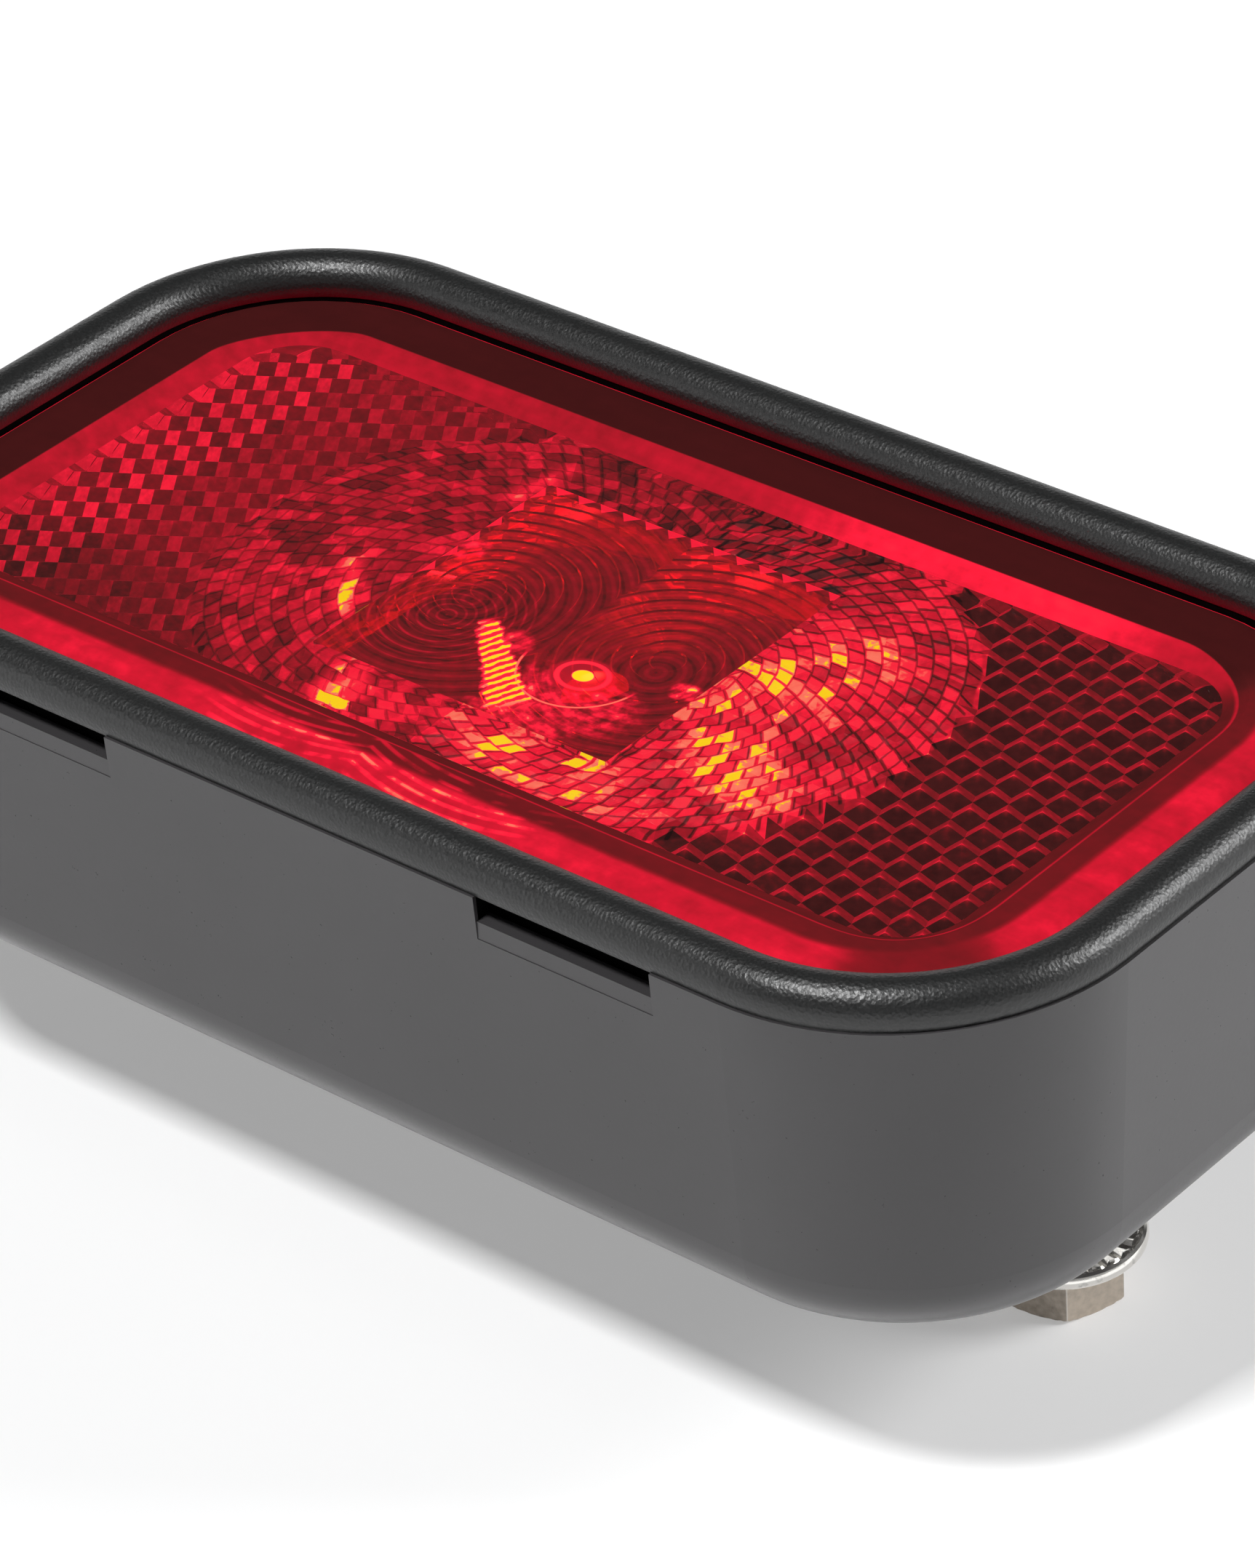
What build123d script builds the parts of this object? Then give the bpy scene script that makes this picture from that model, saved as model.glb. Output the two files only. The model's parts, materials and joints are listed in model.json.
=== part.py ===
from build123d import *
import os
from math import cos, pi, sin, sqrt

# Bike rear light that bolts to a carrier plate with two studs. Millimetres.
# Origin: the middle of the housing's back face, between the studs.
# +Z points to the lens, +X along the light, -Y to the side with the two pry notches.

# Mounting studs and what they leave for the ends of the housing
STUD_SPACING = 80.0
END_MARGIN = 13.4
STUD_RADIUS = 2.5
NECK_RADIUS = 2.45
THREAD_RADIUS = 2.4
STUD_PLAIN_LENGTH = 7.4
STUD_THREAD_LENGTH = 5.0
THREAD_CHAMFER = 0.25
STUD_HOLE_GAP = 0.1
HEAD_FLATS = 8.0
HEAD_HEIGHT = 3.5
SEAL_THICKNESS = 0.8
SEAL_RADIUS = 3.9
COLLAR_GAP = 0.15
COLLAR_WALL = 1.2
COLLAR_HEIGHT = 3.4

# Flange nuts
NUT_FLATS = 8.0
NUT_HEIGHT = 5.0
NUT_FLANGE_RADIUS = 5.9
NUT_FLANGE_EDGE = 0.7
NUT_FLANGE_RISE = 0.8
NUT_BORE_GAP = 0.05
NUT_TURN = -49.5
NUT_BELOW_SHANK = 0.4
NUT_CHAMFER = 0.45
TOOTH_COUNT = 24
TOOTH_HEIGHT = 0.35
TOOTH_INNER_RADIUS = 3.9

# Cells, size AAA, lying across the light on both sides of the board
CELL_RADIUS = 5.25
CELL_LENGTH = 44.5
NUB_RADIUS = 1.9
NUB_HEIGHT = 1.0
CELL_EDGE_RADIUS = 0.5
CELL_GAP = 0.25
SPRING_LENGTH = 3.0
SPRING_RADIUS = 2.4
SPRING_WIRE_RADIUS = 0.3
SPRING_TURNS = 2
SPRING_SEAT_GAP = 0.05

# Contacts
CONTACT_THICKNESS = 0.4
CONTACT_HALF_WIDTH = 5.1
CONTACT_HEIGHT = 9.9
CONTACT_SLOT_GAP = 0.1
TAB_LENGTH = 2.2
TAB_HEIGHT = 2.2
TAB_RISE = 0.6

# Housing shell
BACK_CORNER_RADIUS = 17.0
DRAFT = 1.2
BACK_WALL = 2.4
BODY_WALL = 2.4
RIM_WALL = 1.35
BACK_EDGE_RADIUS = 6.0
INNER_EDGE_RADIUS = 1.5
SKIRT_DEPTH = 4.8
GASKET_HEIGHT = 1.1
GASKET_WIDTH = 0.9
NOTCH_WIDTH = 14.6
NOTCH_OPENING = 1.95
NOTCH_HEIGHT = 3.3
NOTCH_INSET = 0.2
NOTCH_PLACE = 23.6
TRAY_GAP = 0.7
CUT_OVERRUN = 1.0

# Battery tray
END_WALL = 1.05
END_WALL_RISE = 5.0
SIDE_WALL = 1.1
TRAY_LIFT = 0.5
TRAY_FLOOR = 1.2
TRAY_CORNER_RADIUS = 3.0
TROUGH_TO_COLLAR = 0.7
BUTTON_WINDOW = 12.0

# Screws that hold the tray to the housing's bosses
BOSS_RADIUS = 2.2
BOSS_HEIGHT = 4.0
BOSS_GAP = 0.2
BOSS_FROM_TROUGH = 2.9
BOSS_FROM_END_WALL = 3.35
TOWER_WALL = 1.0
TOWER_TOP = 1.2
SCREW_SHAFT_RADIUS = 0.95
SCREW_HOLE_RADIUS = 1.2
SCREW_PILOT_RADIUS = 1.0
SCREW_HEAD_RADIUS = 1.9
SCREW_HEAD_HEIGHT = 1.4
SCREW_SLOT_WIDTH = 0.6
SCREW_SLOT_DEPTH = 0.6
TRAY_SCREW_TIP_GAP = 1.0

# Circuit board and what it carries
BOARD_TO_TROUGH = 3.6
BOARD_THICKNESS = 1.6
BOARD_FRONT_MARGIN = 4.75
BOARD_BACK_MARGIN = 3.55
BOARD_CORNER_RADIUS = 1.0
POST_HEIGHT = 6.2
POST_RADIUS = 2.4
POST_FROM_EDGE = 4.0
POST_FROM_FRONT = 5.0
PIN_RADIUS = 1.0
PIN_HEIGHT = 2.3
PIN_GAP = 0.1
BOARD_SCREW_TIP_GAP = 3.1
LED_RADIUS = 2.5
LED_FLANGE_RADIUS = 2.95
LED_FLANGE_HEIGHT = 1.0
LED_HEIGHT = 8.6
LEAD_WIDTH = 0.5
LEAD_PITCH = 2.54
LEAD_HOLE_RADIUS = 0.45
LEAD_BELOW_BOARD = 1.2
CHIP_SIZE = (5.0, 4.0, 1.5)
CHIP_FROM_LED = 2.65
CHIP_LEG_WIDTH = 0.4
CHIP_LEG_LENGTH = 0.9
CHIP_LEG_PITCH = 1.27
CHIP_LEG_COUNT = 4
CHIP_LEG_HEIGHT = 0.5
CAPACITOR_SIZE = (3.5, 2.8, 1.9)
CAPACITOR_FROM_LED = 2.8
RESISTOR_SIZE = (2.0, 1.25, 0.6)
RESISTOR_FROM_LED = 2.55
RESISTOR_BEHIND_LED = 5.5

# Shroud over the board, with the lamp's cup
SHROUD_WALL = 1.0
SHROUD_TOP = 1.2
SHROUD_HEIGHT = 6.3
SHROUD_BEYOND_BOARD = 0.9
SHROUD_FRONT_GAP = 1.4
SHROUD_BACK_GAP = 2.4
SHROUD_ABOVE_BOARD = 0.5
SHROUD_CORNER_RADIUS = 2.5
SHROUD_LEG_RADIUS = 3.0
SHROUD_LEG_FLOOR = 1.5
LED_GAP = 0.4
CUP_MOUTH_RADIUS = 4.7
CUP_WALL = 0.8
CUP_ABOVE_LED = 0.4

# Switch and push button
SWITCH_SIZE = (6.0, 4.0, 3.5)
SWITCH_FROM_EDGE = 0.8
PLUNGER_RADIUS = 1.1
PLUNGER_REACH = 1.2
PLUNGER_LENGTH = 3.0
PLUNGER_GAP = 0.1
BUTTON_TRAVEL = 0.7
BUTTON_RADIUS = 3.45
BUTTON_HOLE_GAP = 0.2
BUTTON_PROUD = 0.5
BUTTON_FLANGE_RADIUS = 4.5
BUTTON_FLANGE = 1.0
BUTTON_FLANGE_GAP = 0.2
BUTTON_STEM_RADIUS = 1.6
BUTTON_EDGE_RADIUS = 0.5
BUTTON_DIMPLE_RADIUS = 9.0
BUTTON_DIMPLE_DEPTH = 0.35
SEAL_RING_WIDTH = 1.0
SEAL_RING_HEIGHT = 0.8
SEAL_RING_GAP = 0.05

# Leads from the contacts to the board
WIRE_RADIUS = 0.55
WIRE_BEND_RADIUS = 1.2

# Lens, inside the bezel
CUP_TO_LENS = 2.4
PRISM_DEPTH = 1.9
LENS_FLOOR = 0.9
LENS_SIDE = 2.0
RECESS_DEPTH = 0.9
RECESS_SLOPE = 1.75
RECESS_CORNER_RADIUS = 6.8
FRAME_RISE = 0.7
FRAME_WIDTH = 3.35
LENS_ROUND = 2.3
LENS_FLANGE = 1.5
FLANGE_GAP = 0.15
CORE_WIDTH = 2.2
CORE_TOP_WALL = 1.8
RING_PLACE = 8.0
RING_PITCH = 1.5
RING_DEPTH = 0.45
RING_COUNT = 8
WINDOW_HALF_LENGTH = 13.0
WINDOW_HALF_WIDTH = 12.4
RIB_PITCH = 2.35
RIB_LAND = 0.25

# Bezel
BEAD_RADIUS = 2.0
BEAD_RISE = 0.8
BEAD_INSET = 0.05
BEZEL_LIP = 0.25
LENS_TO_BEZEL = 0.2
WEB_DEPTH = 1.4
SKIRT_WALL = 1.0
SKIRT_GAP = 0.2

# Heights, worked out from the back face upwards
tray_floor_z = BACK_WALL + TRAY_LIFT
tray_top_z = tray_floor_z + TRAY_FLOOR
trough_radius = CELL_RADIUS + CELL_GAP
cell_z = tray_top_z + trough_radius
board_z = tray_top_z + POST_HEIGHT
board_top_z = board_z + BOARD_THICKNESS
led_top_z = board_top_z + LED_HEIGHT
shroud_z = board_top_z + SHROUD_HEIGHT
shroud_top_z = shroud_z + SHROUD_TOP
cup_rim_z = led_top_z + CUP_ABOVE_LED
lens_z = cup_rim_z + CUP_TO_LENS
prism_z = lens_z + PRISM_DEPTH
recess_z = prism_z + LENS_FLOOR
frame_z = recess_z + RECESS_DEPTH
parting_z = frame_z - FRAME_RISE
bead_z = parting_z + BEAD_RISE
skirt_z = parting_z - SKIRT_DEPTH
ledge_z = skirt_z - GASKET_HEIGHT
switch_z = board_top_z + SWITCH_SIZE[2] / 2

# Outline of the housing at its back face
contact_face = (CELL_LENGTH + SPRING_LENGTH) / 2
end_wall_face = contact_face + CONTACT_THICKNESS
tray_half_width = end_wall_face + END_WALL
back_half_length = STUD_SPACING / 2 + END_MARGIN
back_half_width = tray_half_width + TRAY_GAP + BODY_WALL
board_front = contact_face - BOARD_FRONT_MARGIN
board_back = contact_face - BOARD_BACK_MARGIN

# Places along the light
stud_x = STUD_SPACING / 2
collar_radius = (HEAD_FLATS / 2 + COLLAR_GAP) / cos(pi / 6) + COLLAR_WALL
trough_outer = stud_x - collar_radius - TROUGH_TO_COLLAR
cell_x = trough_outer - SIDE_WALL - trough_radius
trough_inner = cell_x - trough_radius - SIDE_WALL
board_half = trough_inner - BOARD_TO_TROUGH
post_x = board_half - POST_FROM_EDGE
post_y = board_front - POST_FROM_FRONT
boss_x = trough_inner - BOSS_FROM_TROUGH
boss_y = end_wall_face - BOSS_FROM_END_WALL


def draft_at(z: float) -> float:
    """How far the outer wall stands out at a height, beyond its place at the back face."""
    return DRAFT * z / parting_z


def outline(grow: float, z: float, corner: float) -> Sketch:
    """A rounded rectangle at a height, grown from the back outline, with its own corner radius."""
    length = 2 * (back_half_length + grow)
    width = 2 * (back_half_width + grow)
    return Pos(0, 0, z) * RectangleRounded(length, width, corner)


def drafted(inset: float, low: float, high: float) -> Part:
    """A slab that follows the housing's drafted side, some way inside it."""
    ends = []
    for z in (low, high):
        grow = draft_at(z) - inset
        ends.append(outline(grow, z, BACK_CORNER_RADIUS + grow))
    return loft(ends, ruled=True)


def upright(grow: float, low: float, high: float) -> Part:
    """A slab with upright sides, grown from the back outline."""
    return extrude(outline(grow, low, BACK_CORNER_RADIUS + grow), amount=high - low)


def block(x0: float, x1: float, y0: float, y1: float, z0: float, z1: float) -> Part:
    """A box between two corners."""
    middle = Pos((x0 + x1) / 2, (y0 + y1) / 2, (z0 + z1) / 2)
    return middle * Box(abs(x1 - x0), abs(y1 - y0), abs(z1 - z0))


def post(x: float, y: float, radius: float, low: float, high: float) -> Part:
    """An upright cylinder between two heights."""
    return Pos(x, y, (low + high) / 2) * Cylinder(radius, high - low)


def rod(x: float, z: float, radius: float, y0: float, y1: float) -> Part:
    """A cylinder along Y between two places."""
    return Pos(x, (y0 + y1) / 2, z) * Rot(90, 0, 0) * Cylinder(radius, abs(y1 - y0))


def hexagon(x: float, flats: float, turn: float, low: float, high: float) -> Part:
    """An upright hexagonal prism, measured across its flats."""
    corner = flats / 2 / cos(pi / 6)
    shape = Pos(x, 0, low) * Rot(0, 0, turn) * RegularPolygon(corner, 6)
    return extrude(shape, amount=high - low)


def bottom_edges(body: Part) -> ShapeList:
    """The edges of a body's lowest face."""
    return body.faces().sort_by(Axis.Z)[0].edges()


def top_edges(body: Part) -> ShapeList:
    """The edges of a body's highest face."""
    return body.faces().sort_by(Axis.Z)[-1].edges()


# Growth from the back outline to the walls that stand at the rim
rim_grow = draft_at(parting_z)
skirt_grow = draft_at(skirt_z) - RIM_WALL - SKIRT_GAP
bead_grow = rim_grow - BEAD_INSET - BEAD_RADIUS
bezel_inner_grow = bead_grow - BEAD_RADIUS + BEZEL_LIP
lens_grow = bezel_inner_grow - LENS_TO_BEZEL
web_z = parting_z - WEB_DEPTH
flange_grow = skirt_grow - SKIRT_WALL - FLANGE_GAP


def signs() -> list[int]:
    """Left and right."""
    return [-1, 1]


def corner_places(x: float, y: float) -> list[tuple[float, float]]:
    """Four places, one in each quarter."""
    return [(i * x, j * y) for i in signs() for j in signs()]


def make_housing() -> Part:
    """The drafted case: cavity, sealing ledge, rim notches, bosses and stud collars."""
    body = drafted(0, 0, parting_z)
    body = fillet(bottom_edges(body), BACK_EDGE_RADIUS)
    cavity = drafted(BODY_WALL, BACK_WALL, parting_z + CUT_OVERRUN)
    cavity = fillet(bottom_edges(cavity), INNER_EDGE_RADIUS)
    body -= cavity
    body -= drafted(RIM_WALL, ledge_z, parting_z + CUT_OVERRUN)
    for side in signs():
        middle = side * NOTCH_PLACE
        left, right = middle - NOTCH_WIDTH / 2, middle + NOTCH_WIDTH / 2
        front = -back_half_width - rim_grow
        body -= block(
            left, right, front - CUT_OVERRUN, front + RIM_WALL + CUT_OVERRUN,
            parting_z - NOTCH_OPENING, parting_z + CUT_OVERRUN,
        )
        body -= block(
            left, right, front - CUT_OVERRUN, front + NOTCH_INSET, parting_z - NOTCH_HEIGHT, parting_z
        )
        collar = post(side * stud_x, 0, collar_radius, BACK_WALL, BACK_WALL + COLLAR_HEIGHT)
        hollow = hexagon(
            side * stud_x, HEAD_FLATS + 2 * COLLAR_GAP, 0, BACK_WALL, BACK_WALL + COLLAR_HEIGHT
        )
        body += collar - hollow
        body -= post(side * stud_x, 0, NECK_RADIUS + STUD_HOLE_GAP, -CUT_OVERRUN, BACK_WALL + CUT_OVERRUN)
    for x, y in corner_places(boss_x, boss_y):
        boss = post(x, y, BOSS_RADIUS, BACK_WALL, BACK_WALL + BOSS_HEIGHT)
        boss -= post(x, y, SCREW_PILOT_RADIUS, BACK_WALL, BACK_WALL + BOSS_HEIGHT)
        body += boss
    outside = back_half_width + rim_grow
    body -= rod(0, switch_z, BUTTON_RADIUS + BUTTON_HOLE_GAP, seal_face() - BODY_WALL, outside)
    body -= rod(
        0, switch_z, BUTTON_RADIUS + SEAL_RING_GAP + SEAL_RING_HEIGHT,
        seal_face(), seal_face() + SEAL_RING_WIDTH,
    )
    return body


def seal_face() -> float:
    """Where the groove of the button's seal starts, inside the housing's wall."""
    wall_middle = back_half_width + draft_at(switch_z) - BODY_WALL / 2
    return wall_middle - SEAL_RING_WIDTH / 2


def bezel_section() -> Sketch:
    """The bezel's section: a round bead, an inner wall, a web over the lens flange and a skirt."""
    outer = sqrt(BEAD_RADIUS**2 - BEAD_RISE**2)
    inner = bezel_inner_grow - bead_grow
    drop = sqrt(BEAD_RADIUS**2 - inner**2)
    skirt_out = skirt_grow - bead_grow
    skirt_in = skirt_out - SKIRT_WALL
    low = parting_z - bead_z
    bead = ThreePointArc((outer, low), (0, BEAD_RADIUS), (inner, -drop))
    rest = Polyline(
        (inner, -drop), (inner, web_z - bead_z), (skirt_in, web_z - bead_z), (skirt_in, skirt_z - bead_z),
        (skirt_out, skirt_z - bead_z), (skirt_out, low), (outer, low),
    )
    return make_face([bead, rest])


def make_bezel() -> Part:
    """The section swept round the lens."""
    half_length = back_half_length + bead_grow
    half_width = back_half_width + bead_grow
    radius = BACK_CORNER_RADIUS + bead_grow
    path = Pos(0, 0, bead_z) * RectangleRounded(2 * half_length, 2 * half_width, radius)
    start = Plane(origin=(0, -half_width, bead_z), x_dir=(0, -1, 0), z_dir=(-1, 0, 0))
    return sweep(start * bezel_section(), path=path.wire())


def make_lens() -> Part:
    """A flat frame with a sloped step to a sunk field, rings over the window and ribs under both ends."""
    body = upright(lens_grow, lens_z, frame_z)
    body = fillet(top_edges(body), LENS_ROUND)
    body += upright(flange_grow, web_z - LENS_FLANGE, web_z)
    recess_grow = lens_grow - LENS_ROUND - FRAME_WIDTH
    foot = outline(recess_grow - RECESS_SLOPE, recess_z, RECESS_CORNER_RADIUS - RECESS_SLOPE)
    body -= loft([foot, outline(recess_grow, frame_z, RECESS_CORNER_RADIUS)], ruled=True)
    core_outer = lens_grow - LENS_SIDE
    core = upright(core_outer, lens_z, frame_z - CORE_TOP_WALL)
    core -= upright(core_outer - CORE_WIDTH, lens_z, frame_z - CORE_TOP_WALL)
    body -= core
    body -= window_slab(lens_z, prism_z)
    rings = window_slab(prism_z, prism_z + RING_DEPTH)
    for side in signs():
        half = block(0, side * WINDOW_HALF_LENGTH, -WINDOW_HALF_WIDTH, WINDOW_HALF_WIDTH, lens_z, recess_z)
        body -= ring_grooves(side * RING_PLACE) & half & rings
        body -= end_grooves(side)
    return body


def window_slab(low: float, high: float) -> Part:
    """A slab as long and wide as the lamp's window, between two heights."""
    return block(
        -WINDOW_HALF_LENGTH, WINDOW_HALF_LENGTH, -WINDOW_HALF_WIDTH, WINDOW_HALF_WIDTH, low, high
    )


def ring_grooves(x: float) -> Part:
    """Concentric saw-tooth grooves that bend the lamp's light, as in a stepped lens."""
    teeth = []
    for i in range(1, RING_COUNT + 1):
        outer = i * RING_PITCH
        tooth = Polyline(
            (outer - RING_PITCH / 2, 0, prism_z), (outer, 0, prism_z),
            (outer, 0, prism_z + RING_DEPTH), close=True,
        )
        teeth.append(make_face(tooth))
    return Pos(x, 0, 0) * (Part() + [revolve(tooth, Axis.Z) for tooth in teeth])


def end_grooves(side: int) -> Part:
    """V grooves across one end of the optic field, which leave a row of prisms."""
    recess_grow = lens_grow - LENS_ROUND - FRAME_WIDTH
    reach = back_half_width + recess_grow - RIB_PITCH
    last = back_half_length + recess_grow - RIB_PITCH
    half = (RIB_PITCH - RIB_LAND) / 2
    cuts = Part()
    x = WINDOW_HALF_LENGTH + RIB_PITCH
    while x < last:
        section = Polyline(
            (side * (x - half), 0, lens_z), (side * (x + half), 0, lens_z),
            (side * x, 0, prism_z), close=True,
        )
        cuts += extrude(make_face(section), amount=reach, both=True, dir=(0, 1, 0))
        x += RIB_PITCH
    return cuts


def make_gasket() -> Part:
    """The flat rubber ring between the skirt's foot and the housing's ledge."""
    ring = upright(skirt_grow, ledge_z, skirt_z)
    return ring - upright(skirt_grow - GASKET_WIDTH, ledge_z, skirt_z)


def make_tray() -> Part:
    """The chassis: floor, two troughs, end walls, screw towers and board posts."""
    floor = Pos(0, 0, tray_floor_z) * RectangleRounded(
        2 * trough_outer, 2 * tray_half_width, TRAY_CORNER_RADIUS
    )
    body = extrude(floor, amount=TRAY_FLOOR)
    for side in signs():
        body += block(
            side * trough_inner, side * trough_outer, -end_wall_face, end_wall_face, tray_floor_z, cell_z
        )
    rise = cell_z + END_WALL_RISE - tray_floor_z
    wall = extrude(floor, amount=rise)
    wall -= block(-trough_outer, trough_outer, -end_wall_face, end_wall_face, tray_floor_z, tray_floor_z + rise)
    wall -= block(-BUTTON_WINDOW, BUTTON_WINDOW, 0, tray_half_width, tray_top_z, tray_floor_z + rise)
    body += wall
    for side in signs():
        body -= rod(side * cell_x, cell_z, trough_radius, -end_wall_face, end_wall_face)
        slot = CONTACT_HALF_WIDTH + CONTACT_SLOT_GAP
        for end in signs():
            body -= block(
                side * cell_x - slot, side * cell_x + slot,
                end * contact_face, end * end_wall_face, tray_top_z, cell_z,
            )
    tower = BOSS_RADIUS + BOSS_GAP + TOWER_WALL
    tower_top = BACK_WALL + BOSS_HEIGHT + TOWER_TOP
    for x, y in corner_places(boss_x, boss_y):
        body += post(x, y, tower, tray_floor_z, tower_top)
    for x, y in corner_places(boss_x, boss_y):
        body -= post(x, y, BOSS_RADIUS + BOSS_GAP, tray_floor_z, BACK_WALL + BOSS_HEIGHT)
        body -= post(x, y, SCREW_HOLE_RADIUS, tray_floor_z, tower_top)
    for x, y in corner_places(post_x, post_y):
        body += post(x, y, POST_RADIUS, tray_top_z, board_z)
    for x, y in screw_places():
        body -= post(x, y, SCREW_PILOT_RADIUS, tray_top_z, board_z)
    for x, y in pin_places():
        body += post(x, y, PIN_RADIUS, board_z, board_z + PIN_HEIGHT)
    return body


def screw_places() -> list[tuple[float, float]]:
    """The two posts that take the board's screws."""
    return [(-post_x, post_y), (post_x, -post_y)]


def pin_places() -> list[tuple[float, float]]:
    """The two posts that carry locating pins."""
    return [(post_x, post_y), (-post_x, -post_y)]


def make_cell(side: int) -> Part:
    """A cell: the left one has its nub at +Y, the right one at -Y."""
    can_length = CELL_LENGTH - NUB_HEIGHT
    nub_end = -side * contact_face
    can_end = nub_end + side * NUB_HEIGHT
    far_end = can_end + side * can_length
    can = rod(side * cell_x, cell_z, CELL_RADIUS, can_end, far_end)
    can = fillet(can.edges(), CELL_EDGE_RADIUS)
    return can + rod(side * cell_x, cell_z, NUB_RADIUS, nub_end, can_end)


def contact_plate(side: int, end: int) -> Part:
    """A spring-steel plate at one end of a cell."""
    return block(
        side * cell_x - CONTACT_HALF_WIDTH, side * cell_x + CONTACT_HALF_WIDTH,
        end * contact_face, end * end_wall_face, tray_top_z, tray_top_z + CONTACT_HEIGHT,
    )


def tab_z() -> float:
    """The lower edge of the contacts' side tabs, just above the troughs."""
    return cell_z + TAB_RISE


def make_contact(side: int) -> Part:
    """A plate at the button's side, with a solder tab towards the board."""
    edge = side * (cell_x - CONTACT_HALF_WIDTH)
    tab = block(
        edge, edge - side * TAB_LENGTH, contact_face, end_wall_face, tab_z(), tab_z() + TAB_HEIGHT
    )
    return contact_plate(side, 1) + tab


def make_bridge() -> Part:
    """The strip that joins the two cells at the other side."""
    reach = cell_x - CONTACT_HALF_WIDTH
    strip = block(-reach, reach, -contact_face, -end_wall_face, tab_z(), tab_z() + TAB_HEIGHT)
    return contact_plate(-1, -1) + strip + contact_plate(1, -1)


def make_spring(side: int) -> Part:
    """The coil between a cell's flat end and its contact."""
    height = SPRING_LENGTH - 2 * (SPRING_WIRE_RADIUS + SPRING_SEAT_GAP)
    start = side * (contact_face - SPRING_WIRE_RADIUS - SPRING_SEAT_GAP)
    path = Helix(height / SPRING_TURNS, height, SPRING_RADIUS)
    wire = Plane(origin=path @ 0, z_dir=path % 0) * Circle(SPRING_WIRE_RADIUS)
    coil = sweep(wire, path=path, is_frenet=True)
    return Pos(side * cell_x, start, cell_z) * Rot(side * 90, 0, 0) * coil


def make_board() -> Part:
    """The circuit board with its holes."""
    middle = (board_back - board_front) / 2
    shape = Pos(0, middle, board_z) * RectangleRounded(
        2 * board_half, board_back + board_front, BOARD_CORNER_RADIUS
    )
    board = extrude(shape, amount=BOARD_THICKNESS)
    for x, y in screw_places():
        board -= post(x, y, SCREW_HOLE_RADIUS, board_z, board_top_z)
    for x, y in pin_places():
        board -= post(x, y, PIN_RADIUS + PIN_GAP, board_z, board_top_z)
    for side in signs():
        board -= post(side * LEAD_PITCH / 2, 0, LEAD_HOLE_RADIUS, board_z, board_top_z)
    return board


def make_led() -> Part:
    """The lamp's clear body: flange, barrel and dome."""
    dome_z = led_top_z - LED_RADIUS
    flange = post(0, 0, LED_FLANGE_RADIUS, board_top_z, board_top_z + LED_FLANGE_HEIGHT)
    return flange + post(0, 0, LED_RADIUS, board_top_z, dome_z) + Pos(0, 0, dome_z) * Sphere(LED_RADIUS)


def make_leads() -> Part:
    """The lamp's two legs, through the board."""
    legs = Part()
    for side in signs():
        middle = side * LEAD_PITCH / 2
        legs += block(
            middle - LEAD_WIDTH / 2, middle + LEAD_WIDTH / 2, -LEAD_WIDTH / 2, LEAD_WIDTH / 2,
            board_z - LEAD_BELOW_BOARD, board_top_z,
        )
    return legs


def on_board(size: tuple[float, float, float], place: tuple[float, float]) -> Part:
    """A chip that lies on the board."""
    length, width, height = size
    x, y = place
    return Pos(x, y, board_top_z + height / 2) * Box(length, width, height)


def make_chip() -> Part:
    """The driver chip with its rows of legs, in front of the lamp."""
    reach = CHIP_SIZE[1] / 2 + CHIP_LEG_LENGTH
    y = -LED_FLANGE_RADIUS - CHIP_FROM_LED - reach
    chip = on_board(CHIP_SIZE, (0, y))
    for i in range(CHIP_LEG_COUNT):
        leg_x = (i - (CHIP_LEG_COUNT - 1) / 2) * CHIP_LEG_PITCH
        chip += block(
            leg_x - CHIP_LEG_WIDTH / 2, leg_x + CHIP_LEG_WIDTH / 2, y - reach, y + reach,
            board_top_z, board_top_z + CHIP_LEG_HEIGHT,
        )
    return chip


def make_capacitor() -> Part:
    """The capacitor, to the left of the lamp."""
    x = -LED_FLANGE_RADIUS - CAPACITOR_FROM_LED - CAPACITOR_SIZE[0] / 2
    return on_board(CAPACITOR_SIZE, (x, 0))


def make_resistors() -> Part:
    """Two chip resistors, behind the lamp."""
    group = Part()
    for side in signs():
        x = LED_FLANGE_RADIUS + RESISTOR_FROM_LED + RESISTOR_SIZE[0] / 2
        group += on_board(RESISTOR_SIZE, (side * x, RESISTOR_BEHIND_LED))
    return group


def switch_front() -> float:
    """The face of the switch that its plunger comes out of."""
    return board_back - SWITCH_FROM_EDGE


def make_switch() -> Part:
    """The side-push switch, bored for its plunger."""
    width, depth, height = SWITCH_SIZE
    face = switch_front()
    body = block(-width / 2, width / 2, face - depth, face, board_top_z, board_top_z + height)
    bore_depth = PLUNGER_LENGTH - PLUNGER_REACH + BUTTON_TRAVEL + PLUNGER_GAP
    return body - rod(0, switch_z, PLUNGER_RADIUS + PLUNGER_GAP, face - bore_depth, face)


def make_plunger() -> Part:
    """The switch's plunger, which the button's stem pushes."""
    tip = switch_front() + PLUNGER_REACH
    return rod(0, switch_z, PLUNGER_RADIUS, tip - PLUNGER_LENGTH, tip)


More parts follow.
